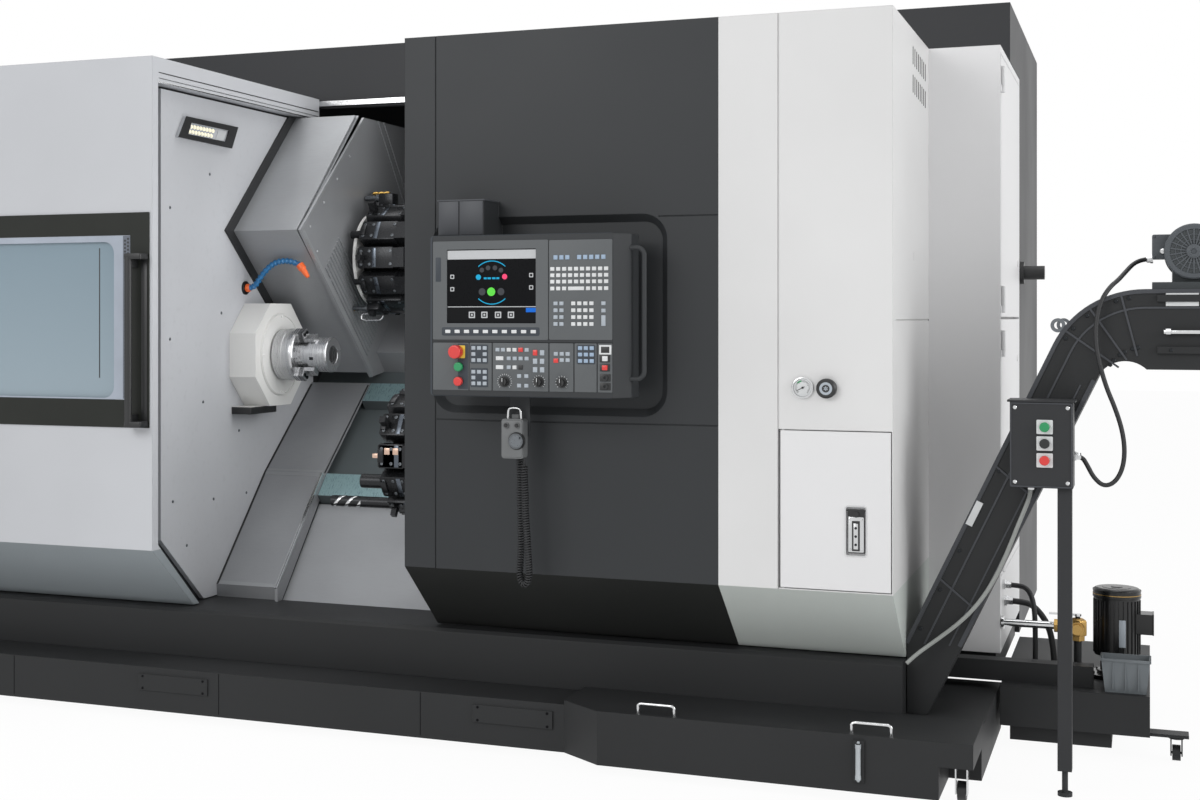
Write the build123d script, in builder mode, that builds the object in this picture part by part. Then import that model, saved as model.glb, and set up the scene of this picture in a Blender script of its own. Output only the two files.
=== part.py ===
from build123d import *
import os
from math import atan2, cos, hypot, pi, radians, sin, tan

# Slant-bed turning lathe with two turrets, sliding front door, swinging operator panel,
# chip conveyor and coolant tank. Millimetres, +Z up, front towards -Y.
# The origin lies on the floor under the middle of the whole machine.

# Overall stations
machine_length = 5450.0
machine_depth = 3233.0
panel_reach = 233.0
head_overhang = 1300.0
cover_height = 2450.0
housing_rise = 230.0
housing_height = cover_height + housing_rise
column_x = machine_length / 2 - head_overhang
front_y = -machine_depth / 2 + panel_reach

# Base and floor line
plinth_bottom = 190.0
plinth_top = 370.0
plinth_setback = 220.0
plinth_back = 2700.0
body_length = 4150.0
tray_bottom = 30.0
foot_radius = 70.0
foot_height = 30.0
foot_screw = 18.0
cabinet_back = 1850.0
cabinet_low = 290.0

# Front covers
cover_wall = 40.0
chamfer_start = 620.0
chamfer_depth = 290.0
opening_left = 2682.0
opening_right = 1659.0
dark_right = 551.0
column_depth = 910.0
door_width = 1118.0
door_gap = 5.0
window_frame_low = 1073.0
window_frame_high = 1872.0
window_low = 1174.0
window_high = 1767.0
window_side = 160.0
roof_depth = 1340.0

# Chamber, spindle and bed
wall_x = 2720.0
wall_sheet = 20.0
spindle_y = 834.0
spindle_z = 1330.0
headstock_length = 120.0
headstock_half = 210.0
spindle_radius = 60.0
bore_gap = 0.05
chuck_radius = 105.0
chuck_length = 93.0
jaw_travel = 6.0
work_radius = 70.0
work_bore = 36.0
sheet = 6.0
bed_back = 2700.0

# Turrets
upper_reach = 568.0
lower_y = 480.0
lower_z = 976.0
drum_flat = 165.0
holder_height = 66.0
holder_width = 80.0
stations = 12

# Operator panel
panel_left = 1475.0
panel_width = 675.0
panel_low = 1225.0
panel_high = 1750.0
panel_front = 200.0
panel_back = 60.0
hinge_x = 1420.0
hinge_y = 80.0
hinge_radius = 15.0

# Conveyor
conveyor_front = 300.0
conveyor_width = 420.0
head_top = 1570.0
head_bottom = 1320.0
incline = 64.8
knee_radius = 300.0

# Running gaps
slide_gap = 0.3
button_gap = 0.3


def along(x):
    """X of a station measured to the right from the column's right side."""
    return column_x + x


def deep(y):
    """Y of a station measured back from the plane of the front covers."""
    return front_y + y


def side_plane(x):
    """Plane that looks along the spindle, with Y and Z as its own axes."""
    return Plane(origin=(along(x), 0, 0), x_dir=(0, 1, 0), z_dir=(1, 0, 0))


def front_plane(y):
    """Plane that faces the operator, with X and Z as its own axes."""
    return Plane(origin=(0, deep(y), 0), x_dir=(1, 0, 0), z_dir=(0, -1, 0))


def turned_plane(x, y, z, turn):
    """Plane that looks along the spindle at a station, turned about its own centre."""
    way = (0, cos(radians(turn)), sin(radians(turn)))
    return Plane(origin=(along(x), deep(y), z), x_dir=way, z_dir=(1, 0, 0))


def side_profile(points, x0, x1, mode=Mode.ADD):
    """Extrude an outline given as depth and height from one station to another."""
    with BuildSketch(side_plane(x0)) as outline:
        with BuildLine():
            Polyline(*[(deep(y), z) for y, z in points], close=True)
        make_face()
    extrude(outline.sketch, amount=x1 - x0, mode=mode)


def block(x0, x1, y0, y1, z0, z1, mode=Mode.ADD):
    """A rectangular form between stations."""
    middle = (along((x0 + x1) / 2), deep((y0 + y1) / 2), (z0 + z1) / 2)
    with Locations(middle):
        Box(x1 - x0, y1 - y0, z1 - z0, mode=mode)


def rod_y(x, z, radius, y0, y1, mode=Mode.ADD):
    """A round form along the depth, from y0 back to y1."""
    with BuildSketch(front_plane(y1)) as disc:
        with Locations((along(x), z)):
            Circle(radius)
    extrude(disc.sketch, amount=y1 - y0, mode=mode)


def rod_z(x, y, radius, z0, z1, mode=Mode.ADD):
    """An upright round form."""
    with BuildSketch(Plane.XY.offset(z0)) as disc:
        with Locations((along(x), deep(y))):
            Circle(radius)
    extrude(disc.sketch, amount=z1 - z0, mode=mode)


def rod_x(y, z, radius, x0, x1, mode=Mode.ADD):
    """A round form along the spindle's direction."""
    with BuildSketch(side_plane(x0)) as disc:
        with Locations((deep(y), z)):
            Circle(radius)
    extrude(disc.sketch, amount=x1 - x0, mode=mode)


def bar(points, radius, corner):
    """A bent round bar through the given stations."""
    with BuildLine() as route:
        FilletPolyline(*[(along(x), deep(y), z) for x, y, z in points], radius=corner)
    with BuildSketch(Plane(origin=route.line @ 0, z_dir=route.line % 0)) as disc:
        Circle(radius)
    sweep(disc.sketch, path=route.line)


def save(piece, name):
    """Label a finished piece and write it."""
    piece.part.label = name
    export_step(piece.part, f"parts/{name}.step")


def bent_cover(x0, x1):
    """A front cover folded from roof to front and chamfer."""
    inner = cover_wall
    side_profile(
        [
            (0, cover_height),
            (0, chamfer_start),
            (chamfer_depth, plinth_top + 5),
            (chamfer_depth + inner, plinth_top + 5),
            (inner, chamfer_start + inner * 0.4),
            (inner, cover_height - inner),
            (roof_depth, cover_height - inner),
            (roof_depth, cover_height),
        ],
        x0,
        x1,
    )


os.makedirs("parts", exist_ok=True)

# Base plinth, feet and chip tank
with BuildPart() as base_plinth:
    side_profile(
        [
            (plinth_setback, plinth_bottom),
            (plinth_setback, plinth_top - 12),
            (plinth_setback + 12, plinth_top),
            (plinth_back, plinth_top),
            (plinth_back, plinth_bottom),
        ],
        -body_length,
        0,
    )
    block(0, 230, 930, cabinet_back, plinth_bottom, cabinet_low)
save(base_plinth, "base_plinth")

foot_pitch = 950.0
foot_front = 420.0
foot_rear = 2500.0
foot_places = [(-4000 + foot_pitch * i, foot_front) for i in range(4)]
foot_places += [(-200, 1100.0)]
foot_places += [(-4000 + foot_pitch * i, foot_rear) for i in range(5)]
with BuildPart() as leveling_feet:
    for x, y in foot_places:
        rod_z(x, y, foot_radius, 0, foot_height)
        rod_z(x, y, foot_screw, foot_height, plinth_bottom)
        with BuildSketch(Plane.XY.offset(plinth_bottom - 25)):
            with Locations((along(x), deep(y))):
                RegularPolygon(32, 6)
        extrude(amount=25)
save(leveling_feet, "leveling_feet")

tank_front = -110.0
tank_right = 250.0
tank_back = 900.0
tank_nose = 1076.0
tank_lip = 205.0
caster_bay_x = 150.0
caster_bay_top = 130.0
caster_bay_back = 160.0
handle_rise = 30.0
with BuildPart() as chip_tank:
    block(-4100, -tank_nose, 0, 300, tray_bottom, plinth_bottom)
    with BuildSketch(Plane.XY.offset(tray_bottom)):
        with BuildLine():
            Polyline(
                (along(-tank_nose), deep(0)),
                (along(-925), deep(tank_front)),
                (along(tank_right), deep(tank_front)),
                (along(tank_right), deep(tank_back)),
                (along(-tank_nose), deep(tank_back)),
                close=True,
            )
        make_face()
    extrude(amount=plinth_bottom - tray_bottom)
    with BuildSketch(Plane.XY.offset(plinth_bottom)):
        with BuildLine():
            Polyline(
                (along(-tank_nose), deep(0)),
                (along(-925), deep(tank_front)),
                (along(tank_right), deep(tank_front)),
                (along(tank_right), deep(plinth_setback - 2)),
                (along(-tank_nose), deep(plinth_setback - 2)),
                close=True,
            )
        make_face()
    extrude(amount=tank_lip - plinth_bottom)
    block(
        caster_bay_x, tank_right, tank_front, caster_bay_back, tray_bottom, caster_bay_top, Mode.SUBTRACT
    )
    for x0, x1 in ((-2739, -2445), (-1404, -1115)):
        block(x0, x1, -6, 0, 104, 164)
    for x in (-736, -54):
        bar(
            [
                (x - 60, -80, tank_lip),
                (x - 60, -80, tank_lip + handle_rise),
                (x + 60, -80, tank_lip + handle_rise),
                (x + 60, -80, tank_lip),
            ],
            5,
            12,
        )
    block(-104, -70, tank_front - 8, tank_front, 62, 190)
    rod_z(-87, tank_front - 14, 7, 72, 180)
save(chip_tank, "chip_tank")

# Bed and sheet covers behind the chamber
ledge = (1340.0, 1194.0)
knee = (914.0, 836.0)
toe = (523.0, 419.0)
nose = (644.0, 1833.0)
crown = (1177.0, 2350.0)
tuck = (981.0, 1542.0)
cover_set = (34.0, -38.0)
way_width = 115.0
cover_end = 2430.0
bed_end = 560.0
rise_angle = 45.0
bed_face = -145.7
up = (cos(radians(rise_angle)), sin(radians(rise_angle)))


def slant(s, n):
    """Depth and height at a distance up the 45 degree slide and out from it."""
    return (s * up[0] - n * up[1], s * up[1] + n * up[0])


def below(point, share=1.0):
    """A point moved under the sheet covers."""
    return (point[0] + cover_set[0] * share, point[1] + cover_set[1] * share)


def partway(start, end, distance):
    """A point at a distance from the start of a line."""
    share = distance / hypot(end[0] - start[0], end[1] - start[1])
    return (start[0] + (end[0] - start[0]) * share, start[1] + (end[1] - start[1]) * share)


def strip(start, end, width):
    """Four corners of a ground way that stands up from the bed along a slope."""
    stop = partway(start, end, width)
    return [start, stop, below(stop), below(start)]


bed_top = slant(3000, bed_face)
with BuildPart() as slant_bed:
    side_profile(
        [
            (below(toe)[0], plinth_top),
            below(knee),
            below(ledge),
            (ledge[0] + 46, below(ledge)[1] + 24),
            bed_top,
            (bed_back, bed_top[1]),
            (bed_back, plinth_top),
        ],
        -wall_x,
        -bed_end,
    )
    side_profile(strip(ledge, knee, way_width), -cover_end, -bed_end)
    side_profile(strip(knee, toe, way_width), -cover_end, -bed_end)
save(slant_bed, "slant_bed")


def shifted(points, dy):
    return [(y + dy, z) for y, z in points]


def bent_sheet(points, dy, thick, x0, x1):
    """A folded sheet that follows an outline from the nose upwards or downwards."""
    side_profile(shifted(points, dy) + shifted(points, dy + thick)[::-1], x0, x1)


hood_line = [crown, nose, tuck, (1290.0, 1243.0)]
hood_end = 2425.0
hood_sheet = 8.0
nest_step = hood_sheet + 0.5
with BuildPart() as chamber_covers:
    lower_line = [ledge, knee, toe, (toe[0] + 6, plinth_top)]
    bent_sheet(lower_line, 0, sheet * 1.4, -wall_x, -cover_end)
    deep_line = [(toe[0] + 17, plinth_top), below(partway(knee, toe, way_width + 12), 0.75)]
    bent_sheet(deep_line, 0, sheet * 1.4, -cover_end, -bed_end)
    rail = 26.0
    side_profile(
        [
            (knee[0] - rail, knee[1]),
            (toe[0] - rail, toe[1]),
            (toe[0] - rail, plinth_top),
            (toe[0] + 10, plinth_top),
            (knee[0] + 18, knee[1] - 20),
        ],
        -cover_end - 12,
        -cover_end,
    )
    bent_sheet(hood_line, 0, hood_sheet, -wall_x, -hood_end)
save(chamber_covers, "chamber_covers")

# The middle telescopic sheet nests inside the fixed one
with BuildPart() as cover_stage:
    bent_sheet(hood_line, nest_step, hood_sheet, -wall_x + 10, -hood_end - 5)
save(cover_stage, "cover_stage")

# Chamber wall with its work lamp, and headstock
beam_low = cover_height - 94.0
beam_width = 54.0
wall_top = beam_low - 11.0
lamp = [(216.0, 2172.0), (273.0, 2255.0), (660.0, 2253.0), (612.0, 2167.0)]
lamp_window = [(290.0, 2190.0), (318.0, 2235.0), (590.0, 2233.0), (560.0, 2188.0)]
with BuildPart() as chamber_wall:
    side_profile(
        [
            (cover_wall + 78, wall_top),
            (cover_wall + 78, 643),
            (427, plinth_top + 5),
            (roof_depth + 15, plinth_top + 5),
            (roof_depth + 15, wall_top),
        ],
        -wall_x - wall_sheet,
        -wall_x,
    )
    rod_x(spindle_y, spindle_z, spindle_radius + 20, -wall_x - wall_sheet, -wall_x, Mode.SUBTRACT)
    side_profile(lamp, -wall_x, -wall_x + 14)
    side_profile(lamp_window, -wall_x + 8, -wall_x + 14, Mode.SUBTRACT)
save(chamber_wall, "chamber_wall")

headstock_face = -wall_x + headstock_length
with BuildPart() as headstock:
    corner = headstock_half * 0.42
    h = headstock_half
    octagon = [
        (-h, corner), (-corner, h), (corner, h), (h, corner),
        (h, -corner), (corner, -h), (-corner, -h), (-h, -corner),
    ]
    side_profile([(spindle_y + a, spindle_z + b) for a, b in octagon], -wall_x, headstock_face)
    rod_x(spindle_y, spindle_z, 170, headstock_face, headstock_face + 6)
    rod_x(
        spindle_y, spindle_z, spindle_radius + bore_gap, -wall_x, headstock_face + 6, Mode.SUBTRACT
    )
    block(-wall_x, headstock_face - 30, 640, 850, 1092, spindle_z - headstock_half)
save(headstock, "headstock")

# Spindle with chuck, three jaws and the workpiece
chuck_back = headstock_face + 14
chuck_face = chuck_back + chuck_length
jaw_width = 42.0
jaw_slot = 12.0
jaw_reach = 78.0
spindle_plane = turned_plane(chuck_face, spindle_y, spindle_z, 0)
with BuildPart() as chuck_body:
    rod_x(spindle_y, spindle_z, spindle_radius, -wall_x - wall_sheet, chuck_back)
    rod_x(spindle_y, spindle_z, chuck_radius, chuck_back, chuck_face)
    chamfer(chuck_body.edges().filter_by(GeomType.CIRCLE).group_by(Axis.X)[-1], 4)
    with BuildSketch(spindle_plane):
        with PolarLocations((chuck_radius + work_radius) / 2, 3):
            Rectangle(chuck_radius - work_radius + 40, jaw_width + 2 * slide_gap)
    extrude(amount=-jaw_slot, mode=Mode.SUBTRACT)
    with BuildSketch(spindle_plane):
        Circle(work_bore)
    extrude(amount=-chuck_length + 20, mode=Mode.SUBTRACT)
save(chuck_body, "chuck_body")

work_length = 85.0
with BuildPart() as workpiece:
    with BuildSketch(spindle_plane.offset(50)):
        Circle(work_radius)
        Circle(work_bore, mode=Mode.SUBTRACT)
    extrude(amount=work_length)
    with BuildSketch(spindle_plane):
        Circle(work_radius - 8)
        Circle(work_bore, mode=Mode.SUBTRACT)
    extrude(amount=50)
save(workpiece, "workpiece")

jaw_outer = 112.0
for number in range(3):
    jaw_plane = turned_plane(chuck_face, spindle_y, spindle_z, 120 * number)
    with BuildPart() as jaw:
        with BuildSketch(jaw_plane.offset(-jaw_slot + slide_gap)):
            with Locations(((work_radius + jaw_outer) / 2, 0)):
                Rectangle(jaw_outer - work_radius - 2 * slide_gap, jaw_width)
        extrude(amount=jaw_slot + jaw_reach)
        with BuildSketch(jaw_plane.offset(jaw_reach * 0.45)):
            with Locations((jaw_outer, 0)):
                Rectangle(50, jaw_width + 2)
        extrude(amount=jaw_reach, mode=Mode.SUBTRACT)
        with BuildSketch(jaw_plane.offset(jaw_reach * 0.45)):
            with Locations((jaw_outer - 12, 0)):
                Circle(6)
        extrude(amount=-14, mode=Mode.SUBTRACT)
    save(jaw, f"chuck_jaw_{number + 1}")

# Jointed coolant hose: ball segments along an arc above the headstock
hose_y = 749.0
hose_points = [
    (-2700, 1604), (-2672, 1614), (-2652, 1640), (-2630, 1668), (-2602, 1694),
    (-2568, 1709), (-2532, 1713), (-2497, 1708), (-2464, 1694),
]
hose_radius = 9.0
with BuildPart() as coolant_hose:
    rod_x(hose_y, 1604, 26, -wall_x, -wall_x + 8)
    rod_x(hose_y, 1604, 13, -wall_x + 8, -wall_x + 24)
    for (x0, z0), (x1, z1) in zip(hose_points, hose_points[1:]):
        spot = Plane(origin=(along(x0), deep(hose_y), z0), x_dir=(0, 1, 0), z_dir=(x1 - x0, 0, z1 - z0))
        with BuildSketch(spot):
            Circle(hose_radius)
        extrude(amount=hypot(x1 - x0, z1 - z0), taper=6)
        with Locations((along(x1), deep(hose_y), z1)):
            Sphere(hose_radius)
    tip = Plane(origin=(along(-2464), deep(hose_y), 1694), x_dir=(0, 1, 0), z_dir=(0.6, 0, -0.8))
    with BuildSketch(tip):
        Circle(15)
    with BuildSketch(tip.offset(60)):
        Circle(6)
    loft()
save(coolant_hose, "coolant_hose")


def turret(y, z, face_x, drum_length, collar, tools):
    """A twelve-sided tool disc with a holder on each flat and tools that point at the chuck."""
    start = turned_plane(face_x, y, z, 0)
    outer = drum_flat / cos(radians(180 / stations))
    with BuildSketch(start) as drum:
        RegularPolygon(outer, stations, rotation=180 / stations)
    extrude(drum.sketch, amount=drum_length)
    with BuildSketch(start.offset(drum_length - 110)) as flange:
        Circle(drum_flat + 45)
    extrude(flange.sketch, amount=110)
    if collar:
        with BuildSketch(start.offset(-70)) as guard:
            Circle(197)
        extrude(guard.sketch, amount=12)
        with BuildSketch(start.offset(-58)) as neck:
            Circle(120)
        extrude(neck.sketch, amount=58)
    middle = drum_flat + holder_height / 2
    for station in range(stations):
        seat = turned_plane(face_x, y, z, 360 / stations * station)
        with BuildSketch(seat.offset(-30)) as holder:
            with Locations((middle, 0)):
                Rectangle(holder_height, holder_width)
        extrude(holder.sketch, amount=drum_length - 80)
        kind, length, size = tools.get(station, ("none", 0, 0))
        if kind == "bar":
            with BuildSketch(seat.offset(-30)) as shank:
                with Locations((middle, 0)):
                    Circle(size)
            extrude(shank.sketch, amount=-length)
        elif kind == "blade":
            with BuildSketch(seat.offset(-30 + 8)) as shank:
                with Locations((middle + holder_height / 2 + length / 2, 0)):
                    Rectangle(length, size)
            extrude(shank.sketch, amount=size)


# Upper turret: saddle along the bed, cross slide at 45 degrees, tool disc
spindle_s = spindle_y * up[0] + spindle_z * up[1]
upper_s = spindle_s + upper_reach
spindle_n = -spindle_y * up[1] + spindle_z * up[0]
upper_y, upper_z = slant(upper_s, spindle_n)
plate_x = -2418.0
hood_face = [
    nose, (1228, wall_top), (1750, wall_top), (1750, 1560), (1430, 1240), (1300, 1222),
]
rib_count = 10
rib_pitch = 22.0
rib_start = 262.0
rib_length = 540.0
with BuildPart() as upper_saddle:
    side_profile(hood_face, plate_x, plate_x + 8)
    saddle_outline = [slant(1900, bed_face + slide_gap), slant(1900, -20), slant(2900, -20)]
    saddle_outline += [slant(2900, bed_face + slide_gap)]
    side_profile(saddle_outline, plate_x, -1500)
    bent_sheet(hood_line, 2 * nest_step, hood_sheet, -wall_x + 15, plate_x)
    edge_angle = atan2(1222 - nose[1], 1300 - nose[0])
    e = (cos(edge_angle), sin(edge_angle))
    for rib in range(rib_count):
        out = 20 + rib * rib_pitch
        a = (nose[0] + e[0] * rib_start - e[1] * out, nose[1] + e[1] * rib_start + e[0] * out)
        b = (a[0] + e[0] * rib_length, a[1] + e[1] * rib_length)
        side_profile(
            [a, b, (b[0] - e[1] * 5, b[1] + e[0] * 5), (a[0] - e[1] * 5, a[1] + e[0] * 5)],
            plate_x + 8,
            plate_x + 13,
        )
save(upper_saddle, "upper_saddle")

upper_disc_x = -2300.0
upper_disc_length = 290.0
housing_gap = 2.0
with BuildPart() as upper_head:
    side_profile(
        [slant(1980, -20 + slide_gap), slant(1980, 60), slant(2700, 60), slant(2700, -20 + slide_gap)],
        -2150,
        -1520,
    )
    head_x = upper_disc_x + upper_disc_length + housing_gap
    side_profile(
        [slant(1900, 100), slant(1900, 500), slant(1960, 560), slant(2240, 560), slant(2300, 500),
         slant(2300, 60), slant(1980, 60)],
        head_x,
        -1560,
    )
    rod_x(upper_y, upper_z, 60 + bore_gap, head_x, head_x + 60, Mode.SUBTRACT)
save(upper_head, "upper_head")

upper_kinds = [("blade", 45, 26), ("bar", 55, 17), ("blade", 38, 22), ("bar", 40, 13)]
upper_tools = {station: upper_kinds[station % 4] for station in range(stations)}
with BuildPart() as upper_turret:
    turret(upper_y, upper_z, upper_disc_x, upper_disc_length, True, upper_tools)
    rod_x(upper_y, upper_z, 60, upper_disc_x + upper_disc_length, upper_disc_x + upper_disc_length + 60)
save(upper_turret, "upper_turret")

# Lower turret: saddle across both ways, cross slide, tool disc
slope = atan2(ledge[1] - knee[1], ledge[0] - knee[0])


def ramp(s, n):
    """Depth and height at a distance down the lower ways and out from them."""
    return (
        ledge[0] - cos(slope) * s - sin(slope) * n,
        ledge[1] - sin(slope) * s + cos(slope) * n,
    )


with BuildPart() as lower_saddle:
    side_profile([ramp(-15, slide_gap), ramp(-15, 110), ramp(560, 110), ramp(560, slide_gap)], -1650, -1080)
save(lower_saddle, "lower_saddle")

lower_s = cos(slope) * (ledge[0] - lower_y) + sin(slope) * (ledge[1] - lower_z)
lower_n = -sin(slope) * (lower_y - ledge[0]) + cos(slope) * (lower_z - ledge[1])
lower_disc_x = -1850.0
lower_disc_length = 200.0
with BuildPart() as lower_head:
    side_profile(
        [ramp(200, 110 + slide_gap), ramp(200, 190), ramp(980, 190), ramp(980, 110 + slide_gap)],
        -1640,
        -1120,
    )
    low_x = lower_disc_x + lower_disc_length + housing_gap
    side_profile(
        [ramp(lower_s - 180, 190), ramp(lower_s - 180, lower_n + 120), ramp(lower_s - 120, lower_n + 180),
         ramp(lower_s + 120, lower_n + 180), ramp(lower_s + 180, lower_n + 120), ramp(lower_s + 180, 190)],
        low_x,
        -1200,
    )
    rod_x(lower_y, lower_z, 60 + bore_gap, low_x, low_x + 60, Mode.SUBTRACT)
save(lower_head, "lower_head")

lower_tools = {
    0: ("bar", 60, 20), 2: ("blade", 40, 24), 3: ("bar", 40, 14), 5: ("blade", 40, 24),
    7: ("bar", 90, 26), 8: ("blade", 34, 20), 9: ("bar", 300, 21), 11: ("bar", 50, 17),
}
with BuildPart() as lower_turret:
    turret(lower_y, lower_z, lower_disc_x, lower_disc_length, False, lower_tools)
    rod_x(lower_y, lower_z, 60, lower_disc_x + lower_disc_length, lower_disc_x + lower_disc_length + 60)
save(lower_turret, "lower_turret")

# Enclosure: fixed left cabinet, sliding door, dark front cover, white column
with BuildPart() as left_cover:
    setback = cover_wall + door_gap
    side_profile(
        [
            (setback, cover_height - setback),
            (setback, chamfer_start + 20),
            (chamfer_depth + setback + 10, plinth_top),
            (roof_depth, plinth_top),
            (roof_depth, cover_height - setback),
        ],
        -body_length,
        -wall_x - wall_sheet,
    )
save(left_cover, "left_cover")

door_left = opening_left + door_width
with BuildPart() as door_panel:
    bent_cover(-door_left, -opening_left)
    block(
        -opening_left - beam_width, -opening_left, cover_wall, roof_depth,
        beam_low, cover_height - cover_wall,
    )
    block(-door_left + 2, -opening_left - 8, -3, 0, window_frame_low, window_frame_high)
    block(
        -door_left + window_side, -opening_left - window_side, -4, cover_wall + 2,
        window_low, window_high, Mode.SUBTRACT,
    )
save(door_panel, "door_panel")

glass_seat = 10.0
with BuildPart() as door_glass:
    block(
        -door_left + window_side, -opening_left - window_side, glass_seat, glass_seat + 12,
        window_low, window_high,
    )
save(door_glass, "door_glass")

grip_x = -2752.0
with BuildPart() as door_handle:
    rod_z(grip_x, -52, 14, 1085, 1705)
    for z in (1110, 1680):
        block(grip_x - 12, grip_x + 12, -52, -3, z - 14, z + 14)
save(door_handle, "door_handle")

recess_left = 1530.0
recess_right = 745.0
recess_low = 1180.0
recess_high = 1798.0
recess_depth = 34.0
bracket_left = 1475.0
bracket_width = 165.0
bracket_low = panel_high + 4
bracket_high = 1872.0
with BuildPart() as front_cover:
    bent_cover(-opening_right, -dark_right)
    block(
        -recess_left - 30, -recess_right + 30, cover_wall, recess_depth + 30,
        recess_low - 30, recess_high + 30,
    )
    with BuildSketch(front_plane(recess_depth)):
        with Locations((along(-(recess_left + recess_right) / 2), (recess_low + recess_high) / 2)):
            RectangleRounded(recess_left - recess_right, recess_high - recess_low, 60)
    extrude(amount=recess_depth, taper=-35, mode=Mode.SUBTRACT)
    for x in (-recess_left - 12,):
        block(x - 2, x + 2, -1, 3, chamfer_start, cover_height, Mode.SUBTRACT)
    block(-recess_left - 10, -dark_right, -1, 3, 1130, 1134, Mode.SUBTRACT)
    block(-recess_right - 5, -dark_right, -1, 3, recess_high + 12, recess_high + 16, Mode.SUBTRACT)
    block(
        -bracket_left, -bracket_left + bracket_width, -135, recess_depth, bracket_low, bracket_high
    )
    rod_z(-hinge_x, -hinge_y, hinge_radius + bore_gap, bracket_low, bracket_low + 40, Mode.SUBTRACT)
save(front_cover, "front_cover")

access_left = 350.0
access_right = 6.0
access_low = 626.0
access_high = 1124.0
access_sheet = 20.0
column_seam = 357.0
with BuildPart() as column_cover:
    side_profile(
        [
            (0, cover_height),
            (0, chamfer_start),
            (chamfer_depth, plinth_top + 5),
            (column_depth, plinth_top + 5),
            (column_depth, cover_height),
        ],
        -dark_right,
        0,
    )
    block(-dark_right, 0, column_depth, roof_depth, cover_height - cover_wall, cover_height)
    block(-column_seam - 2, -column_seam + 2, -1, 3, chamfer_start, cover_height, Mode.SUBTRACT)
    block(-access_left - 8, -access_right + 3, -1, access_sheet + 5, access_low - 3, access_high + 3,
          Mode.SUBTRACT)
    block(-access_left + 20, -access_right - 30, -1, 240, access_low + 20, access_high - 20, Mode.SUBTRACT)
    slot_pitch = 47.0
    for row in range(2):
        for slot in range(8):
            y = 470 + slot_pitch * slot
            z = 2395 - slot * 2 - row * 95
            block(-6, 1, y, y + 18, z - 62, z, Mode.SUBTRACT)
    block(-3, 1, 60, column_depth, 1471, 1475, Mode.SUBTRACT)
    rod_y(-279, 1260, 33.7, -6, 0)
    rod_y(-279, 1260, 28, -7, -3, Mode.SUBTRACT)
    rod_y(-202.5, 1259, 6 + bore_gap, -1, 24, Mode.SUBTRACT)
save(column_cover, "column_cover")

with BuildPart() as regulator_knob:
    rod_y(-202.5, 1259, 31, -26, -2)
    chamfer(regulator_knob.edges().filter_by(GeomType.CIRCLE).group_by(Axis.Y)[0], 5)
    rod_y(-202.5, 1259, 6, -2, 22)
save(regulator_knob, "regulator_knob")

latch_x = -113.0
with BuildPart() as access_door:
    block(-access_left, -access_right, 0, access_sheet, access_low, access_high)
    block(latch_x - 31, latch_x + 31, -1, 12, 737, 890, Mode.SUBTRACT)
    rod_z(-access_left + 8, 8, 5, access_low - 3 + slide_gap, access_high + 3 - slide_gap)
save(access_door, "access_door")

with BuildPart() as access_latch:
    block(latch_x - 26, latch_x + 26, 2, 8, 745, 882)
    block(latch_x - 12, latch_x + 12, -4, 4, 752, 846)
    rod_y(latch_x, 866, 9, -3, 4)
    rod_x(5, 878, 2, latch_x - 31 + slide_gap, latch_x + 31 - slide_gap)
save(access_latch, "access_latch")

# Rear housing and white rear cabinet
cabinet_width = 247.0
housing_clearance = 20.0
housing_front = roof_depth + housing_clearance
housing_back = 3000.0
housing_wall = 40.0
back_seams = (-3300.0, -2200.0, -1100.0)
louvre_groups = (-3725.0, -550.0)
louvre_rows = 6
with BuildPart() as rear_housing:
    block(-body_length, 0, housing_front, housing_back, plinth_top + 5, housing_height)
    block(
        -wall_x, -housing_wall - 20, housing_front + housing_wall, housing_back - housing_wall,
        plinth_top, housing_height - housing_wall, Mode.SUBTRACT,
    )
    block(
        -wall_x, -dark_right, housing_front - 1, housing_front + housing_wall + 1,
        plinth_top, cover_height - 40, Mode.SUBTRACT,
    )
    side_profile(
        [
            (housing_front, cover_height + 4),
            (housing_front, housing_height),
            (housing_back, housing_height),
            (housing_back, 200),
            (cabinet_back + 4, 200),
            (cabinet_back + 4, cover_height + 4),
        ],
        0,
        cabinet_width,
    )
    block(-body_length, -dark_right - 2, roof_depth + slide_gap, housing_front, 2418, 2442)
    for x in back_seams:
        block(x - 2, x + 2, housing_back - 3, housing_back + 1, plinth_top + 5, housing_height, Mode.SUBTRACT)
    for x in louvre_groups:
        for row in range(louvre_rows):
            z = 700 + row * 45
            block(x - 150, x + 150, housing_back - 6, housing_back + 1, z, z + 12, Mode.SUBTRACT)
save(rear_housing, "rear_housing")

with BuildPart() as mist_port:
    rod_x(1900, 1665, 46, cabinet_width, cabinet_width + 16)
    rod_x(1900, 1665, 28, cabinet_width + 16, cabinet_width + 95)
save(mist_port, "mist_port")

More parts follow.
